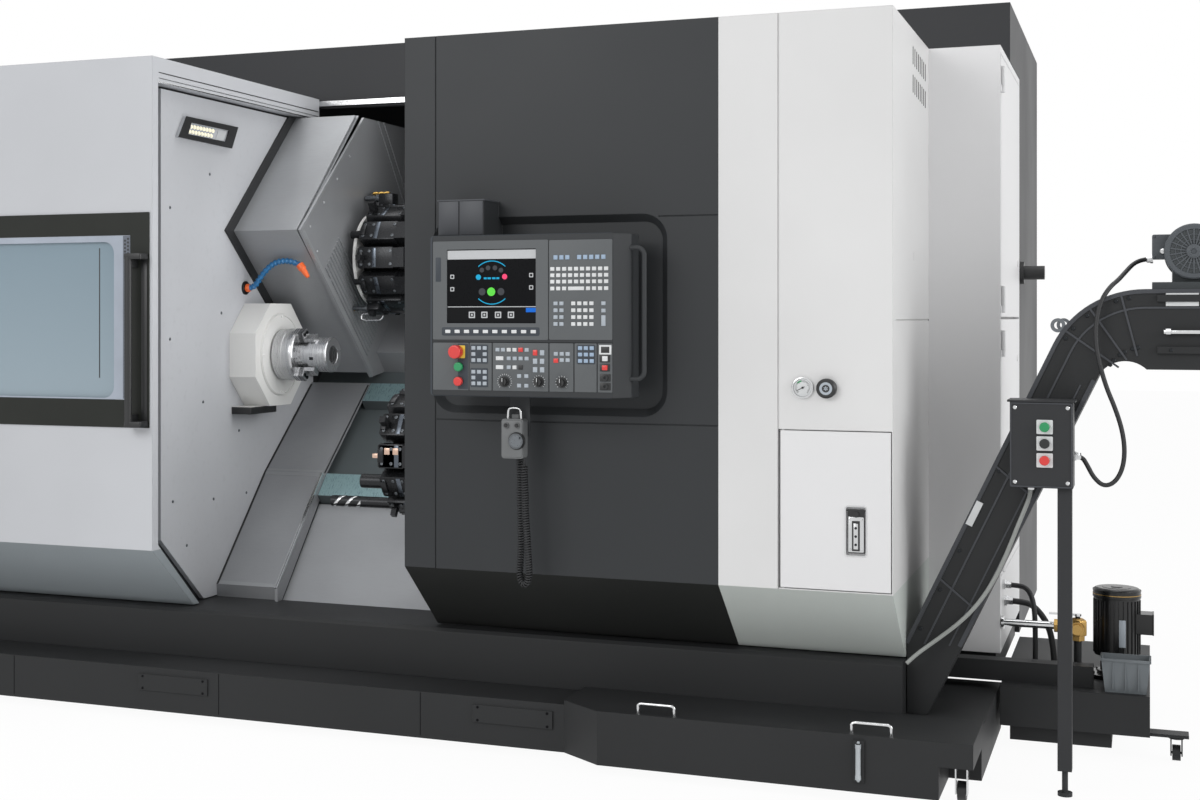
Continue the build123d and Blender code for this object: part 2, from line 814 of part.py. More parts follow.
door_sheet = 18.0
cabinet_split = 1480.0
cabinet_door_front = 940.0
cabinet_door_back = 1830.0
knuckle = 7.0
knuckle_x = cabinet_width + knuckle + slide_gap
knuckle_y = cabinet_door_front + 14
knuckle_length = 70.0
leaf = 3.0
cabinet_kick = 270.0
cabinet_doors = {
    "cabinet_door_low": (cabinet_low + cabinet_kick, cabinet_split - 4),
    "cabinet_door_high": (cabinet_split + 4, cover_height - 30),
}
with BuildPart() as rear_cabinet:
    block(0, cabinet_width, column_depth, cabinet_back, cabinet_low, cover_height)
    for low, high in cabinet_doors.values():
        for z in (low + 40, high - 40 - knuckle_length):
            rod_z(knuckle_x, knuckle_y, knuckle, z - 25, z - slide_gap)
            block(cabinet_width, cabinet_width + leaf, column_depth + 2, knuckle_y, z - 25, z - slide_gap)
        block(
            cabinet_width - door_sheet - 6, cabinet_width + 1, cabinet_door_front - 14,
            cabinet_door_back + 3, low - 3, high + 3, Mode.SUBTRACT,
        )
        block(
            60, cabinet_width, cabinet_door_front + 30, cabinet_door_back - 30,
            low + 40, high - 40, Mode.SUBTRACT,
        )
save(rear_cabinet, "rear_cabinet")

for name, (low, high) in cabinet_doors.items():
    with BuildPart() as cabinet_door:
        block(cabinet_width - door_sheet, cabinet_width, cabinet_door_front, cabinet_door_back, low, high)
        for z in (low + 40, high - 40 - knuckle_length):
            rod_z(knuckle_x, knuckle_y, knuckle, z, z + knuckle_length)
            block(cabinet_width, cabinet_width + leaf, knuckle_y, knuckle_y + 30, z, z + knuckle_length)
    save(cabinet_door, name)

# Operator panel on its swinging hinge
bezel_left = 1466.0
bezel_right = 843.0
screen_x = (-1415.0, -1103.0)
screen_z = (1463.0, 1705.0)
button_spots = {"e_stop": (-1377, 1369, 11), "start_button": (-1370, 1320, 9), "stop_button": (-1371, 1272, 9)}
dial_spots = [(-1211, 1273), (-1092, 1274), (-1014, 1273)]
panel_right = panel_left - panel_width
with BuildPart() as panel_housing:
    with BuildSketch(Plane.XY.offset(panel_low)):
        with BuildLine():
            Polyline(
                (along(-panel_left), deep(-panel_front + 10)),
                (along(-panel_left + 10), deep(-panel_front)),
                (along(-bezel_right), deep(-panel_front)),
                (along(-panel_right), deep(-panel_front + 60)),
                (along(-panel_right), deep(-panel_back)),
                (along(-panel_left), deep(-panel_back)),
                close=True,
            )
        make_face()
    extrude(amount=panel_high - panel_low)
    block(screen_x[0], screen_x[1], -panel_front - 1, -panel_front + 6, screen_z[0], screen_z[1],
          Mode.SUBTRACT)
    block(-bezel_left, -bezel_right, -panel_front - 1, -panel_front + 1.5, 1398, 1401, Mode.SUBTRACT)
    for x, z, radius in button_spots.values():
        rod_y(x, z, radius + button_gap, -panel_front - 1, -panel_front + 40, Mode.SUBTRACT)
    for x, z in dial_spots:
        rod_y(x, z, 4 + bore_gap, -panel_front - 1, -panel_front + 14, Mode.SUBTRACT)
    rod_z(-hinge_x, -hinge_y, hinge_radius, panel_high, panel_high + 40)
    bar(
        [
            (-panel_right - 4, -140, 1705),
            (-panel_right + 42, -140, 1705),
            (-panel_right + 42, -140, 1285),
            (-panel_right - 4, -140, 1285),
        ],
        8,
        25,
    )
    block(-1226, -1157, -110, -104, 1090, panel_low)
    for z in (1260, 1290):
        rod_y(-867, z, 9, -panel_front - 5, -panel_front)
save(panel_housing, "panel_housing")

with BuildPart() as panel_screen:
    block(screen_x[0], screen_x[1], -panel_front + 2, -panel_front + 6, screen_z[0], screen_z[1])
save(panel_screen, "panel_screen")

key_rise = 2.5
key_width = 14.0
key_height = 12.0
with BuildPart() as panel_keys:
    face = front_plane(-panel_front)

    def key_field(x, z, columns, rows, pitch_x, pitch_z, wide=key_width, high=key_height, open_middle=False):
        """A grid of keys that starts at its upper left one."""
        places = [
            (along(x + pitch_x * column), z - pitch_z * row)
            for row in range(rows)
            for column in range(columns)
            if not (open_middle and row == 1 and column == 1)
        ]
        with BuildSketch(face) as field:
            with Locations(*places):
                Rectangle(wide, high)
        extrude(field.sketch, amount=key_rise)

    key_field(-1411, 1436, 10, 1, 33.3, 1, 18)
    key_field(-1035, 1675, 3, 1, 20, 1)
    key_field(-955, 1675, 5, 1, 20.2, 1)
    key_field(-1046, 1638, 10, 3, 20.1, 20.5)
    key_field(-1046, 1575, 4, 1, 20.1, 1)
    key_field(-955.5, 1575, 1, 1, 1, 1, 34)
    key_field(-925.4, 1575, 4, 1, 20.1, 1)
    key_field(-1035, 1527, 2, 4, 20, 22)
    key_field(-975, 1527, 4, 4, 20.3, 22)
    key_field(-874, 1527, 1, 2, 1, 23)
    key_field(-874, 1472, 1, 1, 1, 1, key_width, 34)
    key_field(-1320, 1382, 3, 3, 20, 20, open_middle=True)
    key_field(-1320, 1304, 3, 3, 20, 19, open_middle=True)
    key_field(-952, 1384, 3, 3, 19.5, 20.5)
    key_field(-1235, 1377, 6, 1, 20.1, 1)
    key_field(-1228, 1349, 1, 2, 1, 29, 26)
    key_field(-1196, 1349, 4, 1, 20.6, 1)
    key_field(-1196, 1320, 3, 1, 20.6, 1)
    key_field(-1160, 1292, 2, 2, 25, 31)
    key_field(-1105, 1368, 2, 3, 24, 27.5, key_width, 18)
    key_field(-1034, 1365, 3, 2, 20, 21)
    key_field(-869, 1351, 1, 2, 1, 29, 18, 18)
save(panel_keys, "panel_keys")

for name, (x, z, radius) in button_spots.items():
    cap = 22 if name == "e_stop" else 15
    rise = 26 if name == "e_stop" else 12
    with BuildPart() as push:
        rod_y(x, z, radius, -panel_front - 7, -panel_front + 30)
        rod_y(x, z, cap, -panel_front - 7 - rise, -panel_front - 7)
        fillet(push.edges().filter_by(GeomType.CIRCLE).group_by(Axis.Y)[0], 4)
    save(push, name)

for number, (x, z) in enumerate(dial_spots):
    with BuildPart() as knob:
        rod_y(x, z, 17, -panel_front - 8, -panel_front - slide_gap)
        rod_y(x, z, 12, -panel_front - 22, -panel_front - 8)
        block(x - 2.5, x + 2.5, -panel_front - 26, -panel_front - 21, z - 13, z + 13)
        rod_y(x, z, 4, -panel_front - slide_gap, -panel_front + 12)
    save(knob, f"override_knob_{number + 1}")

pendant_x = -1203.0
with BuildPart() as pendant_body:
    with BuildSketch(front_plane(-110)):
        with Locations((along(pendant_x), 1084)):
            RectangleRounded(76, 130, 10)
    extrude(amount=42)
    rod_y(-1187, 1077, 3 + bore_gap, -153, -140, Mode.SUBTRACT)
    rod_y(-1222, 1128, 9, -162, -152)
    rod_y(-1184, 1128, 9, -162, -152)
    block(-1216, -1192, -122, -110, 1149, 1162)
save(pendant_body, "pendant_body")

with BuildPart() as pendant_dial:
    rod_y(-1187, 1077, 25, -164, -152 - slide_gap)
    rod_y(-1176, 1088, 4, -172, -164)
    rod_y(-1187, 1077, 3, -152 - slide_gap, -141)
save(pendant_dial, "pendant_dial")

# Free cords: straight runs joined by tangent arcs


def cord_radii(points):
    """Each arc's radius is 0.45 of the shorter run over the tangent of half the turn."""
    radii = []
    for a, b, c in zip(points, points[1:], points[2:]):
        first = Vector(*b) - Vector(*a)
        second = Vector(*c) - Vector(*b)
        turn = radians(first.get_angle(second))
        radii.append(0.45 * min(first.length, second.length) * cos(turn / 2) / sin(turn / 2))
    return radii


def cord(points, radius, name):
    """A cord's tube through the given stations."""
    places = [(along(x), deep(y), z) for x, y, z in points]
    radii = cord_radii(places)
    print(name, "radii", [round(r) for r in radii])
    with BuildPart() as tube:
        with BuildLine() as route:
            FilletPolyline(*places, radius=radii)
        with BuildSketch(Plane(origin=route.line @ 0, z_dir=route.line % 0)):
            Circle(radius)
        sweep(path=route.line)
    length = sum(edge.length for edge in route.line.edges())
    share = tube.part.volume / (pi * radius**2 * length)
    print(name, "length", round(length), "volume over section times length", round(share, 4))
    save(tube, name)


curly_points = [
    (-1169, -130, 1019), (-1169, -130, 960), (-1166, -128, 900), (-1167, -125, 840), (-1163, -122, 780),
    (-1161, -118, 720), (-1159, -113, 665), (-1160, -109, 628), (-1169, -105, 602), (-1187, -100, 600),
    (-1198, -96, 626), (-1198, -91, 665), (-1196, -86, 720), (-1199, -83, 780), (-1200, -81, 840), (-1203, -79, 900),
    (-1203, -77, 960), (-1206, -77, 1020), (-1206, -79, 1080), (-1209, -80, 1140), (-1209, -82, 1185),
    (-1209, -82, panel_low),
]
cord(curly_points, 13, "pendant_cord")

# Chip conveyor with its drive, control box and post
lean_y = sin(radians(incline))
lean_x = cos(radians(incline))
run = lean_x / lean_y
upper_foot = 138.0 - 725.0 * run
lower_foot = 167.0 - 399.0 * run
knee_corner = upper_foot + head_top * run
knee_run = knee_radius * tan(radians(incline) / 2)
knee_centre = (knee_corner + knee_run, head_top - knee_radius)


def on_knee(turn, out=0.0):
    """A point of the conveyor's upper knee, turned on from straight up, at a distance outside it."""
    reach = knee_radius + out
    return (knee_centre[0] - reach * sin(radians(turn)), knee_centre[1] + reach * cos(radians(turn)))


def under(z):
    """The incline's lower edge at a height."""
    return (along(lower_foot + z * run), z)


left = 3.0
knee_rise = 1294.0
knee_top = head_bottom + 24
with BuildPart() as conveyor:
    with BuildSketch(front_plane(conveyor_front)):
        with BuildLine():
            start, middle, stop = [(along(x), z) for x, z in (on_knee(incline), on_knee(incline / 2), on_knee(0))]
            Polyline(under(plinth_bottom), (along(left), plinth_bottom), (along(left), (left - upper_foot) / run), start)
            ThreePointArc(start, middle, stop)
            Polyline(
                stop,
                (along(head_overhang), head_top),
                (along(head_overhang), head_bottom - 60),
                (along(head_overhang - 120), head_bottom - 60),
                (along(head_overhang - 120), head_bottom),
                (along(730), head_bottom),
            )
            ThreePointArc((along(730), head_bottom), (along(652), knee_top), under(knee_rise))
            Line(under(knee_rise), under(plinth_bottom))
        make_face()
    extrude(amount=-conveyor_width)
    block(
        head_overhang - 110, head_overhang - 10, conveyor_front + 30,
        conveyor_front + conveyor_width - 30, head_bottom - 61, head_top - 60, Mode.SUBTRACT,
    )
    for level in (1370.0, 1530.0):
        block(760, head_overhang - 20, conveyor_front - 12, conveyor_front, level, level + 22)
    block(780, 1110, conveyor_front - 20, conveyor_front, 1432, 1442)
    ring_x, ring_z = on_knee(54, 18)
    for y in (conveyor_front + 14, conveyor_front + conveyor_width - 24):
        rod_y(ring_x, ring_z, 22, y, y + 10)
        rod_y(ring_x, ring_z, 12, y - 1, y + 11, Mode.SUBTRACT)
save(conveyor, "conveyor")

motor_x = 866.0
motor_z = 1687.0
motor_radius = 83.0
fins = 24
with BuildPart() as conveyor_motor:
    block(motor_x - 120, motor_x + 120, 340, 620, head_top, head_top + 22)
    rod_y(motor_x, motor_z, motor_radius - 8, 400, 600)
    rod_y(motor_x, motor_z, motor_radius, 340, 400)
    rod_y(motor_x, motor_z, motor_radius, 590, 640)
    block(motor_x - 60, motor_x + 60, 410, 590, head_top + 20, motor_z - 40)
    with BuildSketch(front_plane(590)):
        with Locations((along(motor_x), motor_z)):
            with PolarLocations(motor_radius - 6, fins):
                Rectangle(12, 4)
    extrude(amount=190)
    block(motor_x - 118, motor_x - 60, 420, 500, motor_z - 20, motor_z + 55)
save(conveyor_motor, "conveyor_motor")

box_left = 335.0
box_right = 520.0
box_front = 150.0
box_low = 955.0
box_high = 1220.0
post_x = 495.0
post_y = 200.0
with BuildPart() as control_box:
    block(box_left, box_right, box_front, conveyor_front - 12, box_low, box_high)
    block(box_left - 8, box_right + 8, box_front - 3, conveyor_front - 12, box_high, box_high + 6)
    block(box_left + 20, box_left + 80, conveyor_front - 12, conveyor_front, 990, 1190)
    for z in (1144, 1093, 1041):
        rod_y(438, z, 9 + button_gap, box_front - 1, box_front + 24, Mode.SUBTRACT)
    for z in (1144, 1093, 1041):
        block(414, 462, box_front - 3, box_front, z - 22, z + 22)
        rod_y(438, z, 9 + button_gap, box_front - 4, box_front + 1, Mode.SUBTRACT)
    block(post_x - 21, post_x + 21, post_y - 25, post_y + 25, 80, box_low)
    rod_z(post_x, post_y, 9, 12, 80)
    rod_z(post_x, post_y, 22, 0, 12)
save(control_box, "control_box")

box_buttons = {"conveyor_forward": 1144.0, "conveyor_reverse": 1093.0, "conveyor_stop": 1041.0}
for name, z in box_buttons.items():
    with BuildPart() as push:
        rod_y(438, z, 9, box_front - 8, box_front + 20)
        rod_y(438, z, 15, box_front - 20, box_front - 8)
        fillet(push.edges().filter_by(GeomType.CIRCLE).group_by(Axis.Y)[0], 3)
    save(push, name)

cable_points = [
    (748, 460, 1668), (722, 460, 1668), (692, 436, 1655), (668, 385, 1626), (648, 335, 1600),
    (624, 292, 1578), (598, 268, 1535), (584, 258, 1470), (583, 250, 1400), (596, 246, 1330),
    (614, 245, 1265), (640, 245, 1200), (660, 245, 1135), (668, 245, 1070), (661, 245, 1012),
    (638, 245, 970), (606, 244, 958), (577, 242, 985), (559, 239, 1022), (543, 238, 1050),
    (box_right, 238, 1050),
]
cord(cable_points, 7, "motor_cable")

conduit_points = [
    (390, 262, box_low), (390, 262, 925), (374, 262, 880), (352, 264, 825), (330, 266, 765),
    (306, 268, 705), (278, 268, 645), (246, 268, 590), (208, 268, 540), (166, 268, 497),
    (122, 264, 460), (78, 254, 425), (40, 238, 396), (12, 222, 368),
]
cord(conduit_points, 6.5, "conduit")

# Coolant tank, pump, parts bin and valve beside the column
tank_x0 = 262.0
tank_x1 = 740.0
tank_y0 = 700.0
tank_y1 = 1650.0
tank_low = 85.0
tank_top = 220.0
valve_x = 505.0
valve_y = 930.0
caster_trail = 16.0


def caster_fork(x, y, top, wheel):
    """A caster's swivel plate, its two legs and the axle between them."""
    rod_z(x, y, 24, top - 8, top)
    for side in (-1, 1):
        middle = x + side * 17
        block(middle - 2, middle + 2, y - 12, y + caster_trail + 10, wheel - 6, top - 8)
    rod_x(y + caster_trail, wheel, 4, x - 19, x + 19)


with BuildPart() as coolant_tank:
    block(tank_x0, tank_x1, tank_y0, tank_y1, tank_low, tank_top)
    block(tank_x0 + 30, tank_x1 - 120, tank_y0 + 40, tank_y1 - 40, tray_bottom, tank_low)
    block(0, 560, 780, 850, tank_top, tank_top + 70)
    rod_z(valve_x, valve_y, 13, tank_top, 372)
    with BuildSketch(Plane.XY.offset(372)):
        with Locations((along(valve_x), deep(valve_y))):
            RegularPolygon(26, 6)
    extrude(amount=52)
    rod_x(valve_y, 398, 15, valve_x - 60, valve_x)
    rod_x(valve_y, 398, 11, cabinet_width, valve_x - 60)
    rod_z(valve_x, valve_y, 8, 424, 436)
    block(tank_x1 - 60, 860, 725, 795, tank_low, tank_low + 10)
    caster_fork(822.0, 760.0, tank_low, 26.0)
    rod_x(760 + caster_trail, 26, 26, 822 - 13, 822 + 13)
save(coolant_tank, "coolant_tank")

pump_x = 632.0
pump_y = 1000.0
with BuildPart() as coolant_pump:
    rod_z(pump_x, pump_y, 95, tank_top, tank_top + 14)
    rod_z(pump_x, pump_y, 55, tank_top + 14, 300)
    rod_z(pump_x, pump_y, 75, 300, 500)
    rod_z(pump_x, pump_y, 79, 500, 535)
    fillet(coolant_pump.edges().filter_by(GeomType.CIRCLE).group_by(Axis.Z)[-1], 14)
    block(pump_x + 60, pump_x + 118, pump_y - 40, pump_y + 40, 380, 450)
save(coolant_pump, "coolant_pump")

with BuildPart() as parts_bin:
    with BuildSketch(Plane.XY.offset(tank_top)):
        with Locations((along(664), deep(770))):
            Rectangle(130, 80)
    extrude(amount=115, taper=-6)
    topf = parts_bin.faces().sort_by(Axis.Z)[-1]
    offset(amount=-4, openings=topf)
save(parts_bin, "parts_bin")

with BuildPart() as valve_lever:
    rod_z(valve_x, valve_y, 12, 436 + slide_gap, 444)
    block(valve_x - 95, valve_x, valve_y - 9, valve_y + 9, 438, 444)
save(valve_lever, "valve_lever")

# Swivel caster under the chip tank
caster_x = 205.0
caster_y = 10.0
caster_wheel = 30.0
with BuildPart() as tank_caster_fork:
    caster_fork(caster_x, caster_y, caster_bay_top - slide_gap, caster_wheel)
save(tank_caster_fork, "tank_caster_fork")

with BuildPart() as tank_caster_wheel:
    tread = (caster_y + caster_trail, caster_wheel)
    rod_x(*tread, caster_wheel, caster_x - 13, caster_x + 13)
    rod_x(*tread, 4 + bore_gap, caster_x - 13, caster_x + 13, Mode.SUBTRACT)
save(tank_caster_wheel, "tank_caster_wheel")
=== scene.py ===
import math

import bmesh
import bpy
from mathutils import Matrix, Vector


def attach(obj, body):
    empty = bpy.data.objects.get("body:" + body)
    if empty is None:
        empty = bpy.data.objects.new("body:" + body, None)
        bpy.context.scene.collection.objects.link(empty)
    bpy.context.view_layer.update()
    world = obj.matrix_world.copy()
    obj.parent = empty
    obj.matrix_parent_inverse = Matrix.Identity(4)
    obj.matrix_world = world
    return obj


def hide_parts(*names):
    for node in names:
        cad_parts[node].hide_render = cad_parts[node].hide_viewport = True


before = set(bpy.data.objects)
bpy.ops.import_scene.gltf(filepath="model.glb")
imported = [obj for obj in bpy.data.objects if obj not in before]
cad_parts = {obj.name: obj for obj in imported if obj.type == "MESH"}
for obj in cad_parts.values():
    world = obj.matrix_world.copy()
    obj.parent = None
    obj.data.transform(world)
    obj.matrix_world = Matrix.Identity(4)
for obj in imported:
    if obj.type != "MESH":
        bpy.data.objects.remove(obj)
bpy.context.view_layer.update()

# Stations are millimetres to the right of the column's right side, behind the plane of the
# front covers and above the floor, as on the machine's own layout drawing.
COLUMN_X = 1425.0
FRONT_Y = -1383.5


def spot(x, y, z):
    """A station as a place in metres."""
    return Vector(((COLUMN_X + x) / 1000, (FRONT_Y + y) / 1000, z / 1000))


def tone(red, green, blue):
    """A colour seen in steps of 255 as the linear colour that a shader takes."""
    steps = [v / 255 for v in (red, green, blue)]
    linear = [v / 12.92 if v <= 0.04045 else ((v + 0.055) / 1.055) ** 2.4 for v in steps]
    return (*linear, 1.0)


# Finishes


def new_finish(name):
    """An empty material with its shader and the object's own coordinates."""
    material = bpy.data.materials.new(name)
    material.use_nodes = True
    nodes = material.node_tree.nodes
    place = nodes.new("ShaderNodeTexCoord")
    return material, nodes, material.node_tree.links, nodes["Principled BSDF"], place.outputs["Object"]


def noise(nodes, links, place, scale, detail=2.0, stretch=None):
    """Noise at a scale per metre, drawn out along an axis where the grain runs."""
    if stretch:
        grain = nodes.new("ShaderNodeMapping")
        grain.inputs["Scale"].default_value = stretch
        links.new(place, grain.inputs["Vector"])
        place = grain.outputs["Vector"]
    cloud = nodes.new("ShaderNodeTexNoise")
    cloud.inputs["Scale"].default_value = scale
    cloud.inputs["Detail"].default_value = detail
    links.new(place, cloud.inputs["Vector"])
    return cloud.outputs["Fac"]


def spread(nodes, links, value, low, high, start=0.3, end=0.7):
    """A value mapped from its middle range to new limits."""
    span = nodes.new("ShaderNodeMapRange")
    span.inputs["From Min"].default_value = start
    span.inputs["From Max"].default_value = end
    span.inputs["To Min"].default_value = low
    span.inputs["To Max"].default_value = high
    links.new(value, span.inputs["Value"])
    return span.outputs["Result"]


def blend_tones(nodes, links, value, first, second):
    """One of two colours, or a mix, by a value."""
    mix = nodes.new("ShaderNodeMix")
    mix.data_type = "RGBA"
    for socket, colour in (("A", first), ("B", second)):
        target = [s for s in mix.inputs if s.name == socket and s.type == "RGBA"][0]
        if isinstance(colour, tuple):
            target.default_value = colour
        else:
            links.new(colour, target)
    links.new(value, mix.inputs["Factor"])
    return [s for s in mix.outputs if s.type == "RGBA"][0]


def relief(nodes, links, shader, height, strength, depth, rounding=0.0):
    """Fine height on a surface, over edges that are broken by a small radius."""
    bump = nodes.new("ShaderNodeBump")
    bump.inputs["Strength"].default_value = strength
    bump.inputs["Distance"].default_value = depth
    links.new(height, bump.inputs["Height"])
    if rounding:
        edge = nodes.new("ShaderNodeBevel")
        edge.samples = 4
        edge.inputs["Radius"].default_value = rounding
        links.new(edge.outputs["Normal"], bump.inputs["Normal"])
    links.new(bump.outputs["Normal"], shader.inputs["Normal"])


def shift(colour, by):
    """The same colour, lighter or darker by a share."""
    return tuple(min(1.0, c * (1 + by)) for c in colour[:3]) + (1.0,)


def drifting(nodes, links, value, colour, darker, lighter):
    """A colour that drifts between a darker and a lighter shade of itself."""
    ease = spread(nodes, links, value, 0, 1)
    return blend_tones(nodes, links, ease, shift(colour, -darker), shift(colour, lighter))


def sprayed(nodes, links, shader, place, slow, roughness, sheen, rounding):
    """The faint orange peel and uneven gloss of sprayed and baked paint."""
    peel = noise(nodes, links, place, 420.0, 2.0)
    links.new(spread(nodes, links, slow, roughness - 0.05, roughness + 0.06), shader.inputs["Roughness"])
    shader.inputs["Specular IOR Level"].default_value = sheen
    relief(nodes, links, shader, peel, 0.1, 0.0004, rounding)


def powder_coat(name, colour, roughness=0.42, variation=0.05, rounding=0.0, dirt=0.0, sheen=0.22):
    """Sprayed paint with a slow drift of shade and, where asked, some grime."""
    material, nodes, links, shader, place = new_finish(name)
    slow = noise(nodes, links, place, 1.4, 3.0)
    shade = drifting(nodes, links, slow, colour, variation, variation)
    if dirt:
        specks = spread(nodes, links, noise(nodes, links, place, 38.0, 6.0), 0, 1, 0.56, 0.8)
        shade = blend_tones(nodes, links, specks, shade, shift(colour, -dirt))
    links.new(shade, shader.inputs["Base Color"])
    sprayed(nodes, links, shader, place, slow, roughness, sheen, rounding)
    return material


def metal(name, colour, roughness=0.3, run=(1, 1, 1), scale=90.0, strength=0.08, streak=0.12, bare=1.0):
    """Bare metal with the marks of its rolling, grinding or turning along one direction."""
    material, nodes, links, shader, place = new_finish(name)
    shader.inputs["Metallic"].default_value = bare
    lines = noise(nodes, links, place, scale, 4.0, run)
    slow = noise(nodes, links, place, 2.2, 3.0)
    links.new(drifting(nodes, links, slow, colour, streak, streak), shader.inputs["Base Color"])
    links.new(spread(nodes, links, lines, roughness - 0.07, roughness + 0.1), shader.inputs["Roughness"])
    relief(nodes, links, shader, lines, strength, 0.0005)
    return material


def moulded(name, colour, roughness=0.45, grain=900.0, strength=0.12, coat=0.0, sheen=0.5):
    """Moulded plastic or rubber with a fine spark-eroded grain."""
    material, nodes, links, shader, place = new_finish(name)
    slow = noise(nodes, links, place, 9.0, 2.0)
    links.new(drifting(nodes, links, slow, colour, 0.06, 0.06), shader.inputs["Base Color"])
    pits = noise(nodes, links, place, grain, 2.0)
    links.new(spread(nodes, links, pits, roughness - 0.05, roughness + 0.05), shader.inputs["Roughness"])
    shader.inputs["Coat Weight"].default_value = coat
    shader.inputs["Specular IOR Level"].default_value = sheen
    relief(nodes, links, shader, pits, strength, 0.0002)
    return material


# The covers' chamfer starts at this height, in metres
FOLD_HEIGHT = 0.6195


def two_tone_paint(name, upper, lower, roughness=0.42):
    """Paint that changes colour at the fold where the covers' chamfer starts."""
    material, nodes, links, shader, place = new_finish(name)
    parts = nodes.new("ShaderNodeSeparateXYZ")
    links.new(place, parts.inputs["Vector"])
    above = nodes.new("ShaderNodeMath")
    above.operation = "GREATER_THAN"
    above.inputs[1].default_value = FOLD_HEIGHT
    links.new(parts.outputs["Z"], above.inputs[0])
    slow = noise(nodes, links, place, 1.2, 3.0)
    pair = [drifting(nodes, links, slow, colour, 0.05, 0.04) for colour in (lower, upper)]
    links.new(blend_tones(nodes, links, above.outputs[0], *pair), shader.inputs["Base Color"])
    sprayed(nodes, links, shader, place, slow, roughness, 0.22, 0.004)
    return material


def tinted_pane_painted_reflection(name, low_colour, high_colour, low, high):
    """Laminated window glass that looks paler towards its foot, where the paler colour is a painted
    reflection.
    """
    material, nodes, links, shader, place = new_finish(name)
    parts = nodes.new("ShaderNodeSeparateXYZ")
    links.new(place, parts.inputs["Vector"])
    # The blend from the paler low colour to the darker high colour is painted reflected light, not the
    # glass's own tint
    level = spread(nodes, links, parts.outputs["Z"], 0, 1, low, high)
    links.new(blend_tones(nodes, links, level, low_colour, high_colour), shader.inputs["Base Color"])
    shader.inputs["Roughness"].default_value = 0.16
    shader.inputs["Coat Weight"].default_value = 0.6
    ripple = noise(nodes, links, place, 1.5, 1.0)
    relief(nodes, links, shader, ripple, 0.05, 0.002)
    return material


def glow(name, colour, strength):
    """A lit area such as a lamp or a display's picture."""
    material, nodes, links, shader, place = new_finish(name)
    grid = noise(nodes, links, place, 300.0, 1.0)
    shade = blend_tones(nodes, links, grid, shift(colour, -0.08), colour)
    links.new(shade, shader.inputs["Base Color"])
    links.new(shade, shader.inputs["Emission Color"])
    shader.inputs["Emission Strength"].default_value = strength
    shader.inputs["Specular IOR Level"].default_value = 0.1
    shader.inputs["Roughness"].default_value = 0.35
    return material


CHARCOAL = powder_coat("charcoal_coat", tone(50, 51, 53), 0.46, 0.06, 0.004)
CHARCOAL_LOW = two_tone_paint("charcoal_cover", tone(51, 53, 55), tone(40, 41, 40), 0.46)
SOOT = powder_coat("soot_coat", tone(43, 44, 45), 0.5, 0.08, 0.004)
DOOR_COAT = two_tone_paint("door_coat", tone(190, 192, 196), tone(146, 153, 157))
COLUMN_COAT = two_tone_paint("column_coat", tone(218, 218, 218), tone(200, 206, 202))
WHITE = powder_coat("white_coat", tone(224, 224, 225), 0.42, 0.02, 0.003)
WALL = powder_coat("chamber_coat", tone(186, 188, 192), 0.4, 0.05, 0.002, 0.05)
IVORY = powder_coat("headstock_coat", tone(222, 222, 220), 0.35, 0.02, 0.003)
SLATE = powder_coat("slate_enamel", tone(72, 76, 78), 0.5, 0.06, 0.003)
GLOSS_BLACK = powder_coat("gloss_black_enamel", tone(16, 17, 18), 0.24, 0.08, 0.003, 0.0, 0.5)
PANEL_DARK = powder_coat("panel_casing", tone(54, 56, 58), 0.5, 0.03, 0.003)
PANEL_GREY = powder_coat("panel_bezel", tone(95, 98, 100), 0.5, 0.02, 0.0)
# The keys' darker backing plates, and the casing's rim, whose lighter colour is partly a painted edge
# highlight
PANEL_INSET_AND_RIM_HIGHLIGHT = powder_coat("panel_inset", tone(64, 69, 75), 0.5, 0.02, 0.0)
HOOD_STEEL = metal("hood_sheet_steel", tone(150, 152, 155), 0.36, (1, 14, 14), 26.0, 0.06, 0.1, 0.4)
WAY_SHEET = metal("way_sheet_steel", tone(150, 152, 155), 0.42, (1, 9, 9), 22.0, 0.06, 0.1, 0.35)
GROUND = metal("ground_way", tone(136, 164, 168), 0.3, (14, 1, 1), 40.0, 0.07, 0.1, 0.5)
TURNED = metal("turned_steel", tone(196, 197, 199), 0.26, (9, 0.02, 0.02), 60.0, 0.006, 0.05, 0.9)
BRIGHT = metal("plated_steel", tone(205, 206, 207), 0.16, (1, 1, 1), 120.0, 0.02, 0.05)
# Blackened steel, and also painted shade inside the chuck's counterbores, holes and slots
BLACKED = metal("blackened_steel_and_hole_shade", tone(48, 50, 52), 0.4, (1, 1, 1), 140.0, 0.12, 0.14)
TOOL_BLACK = metal("tool_block_steel", tone(38, 39, 41), 0.3, (1, 1, 1), 140.0, 0.06, 0.12, 0.6)
GILT = metal("coated_carbide", tone(206, 168, 92), 0.3, (1, 1, 1), 140.0, 0.06, 0.08)
BED_IRON = powder_coat("bed_paint", tone(80, 86, 88), 0.5, 0.08)
BRASS = metal("cast_brass", tone(186, 152, 92), 0.34, (1, 1, 1), 160.0, 0.12, 0.12)
BLACK = moulded("black_moulding", tone(30, 31, 32), 0.42)
BLACK_BAND = moulded("black_band", tone(38, 40, 37), 0.35, 600.0, 0.04, 0.0, 0.2)
FRAME_BLUE = moulded("inner_frame", tone(158, 166, 178), 0.4, 500.0, 0.04)
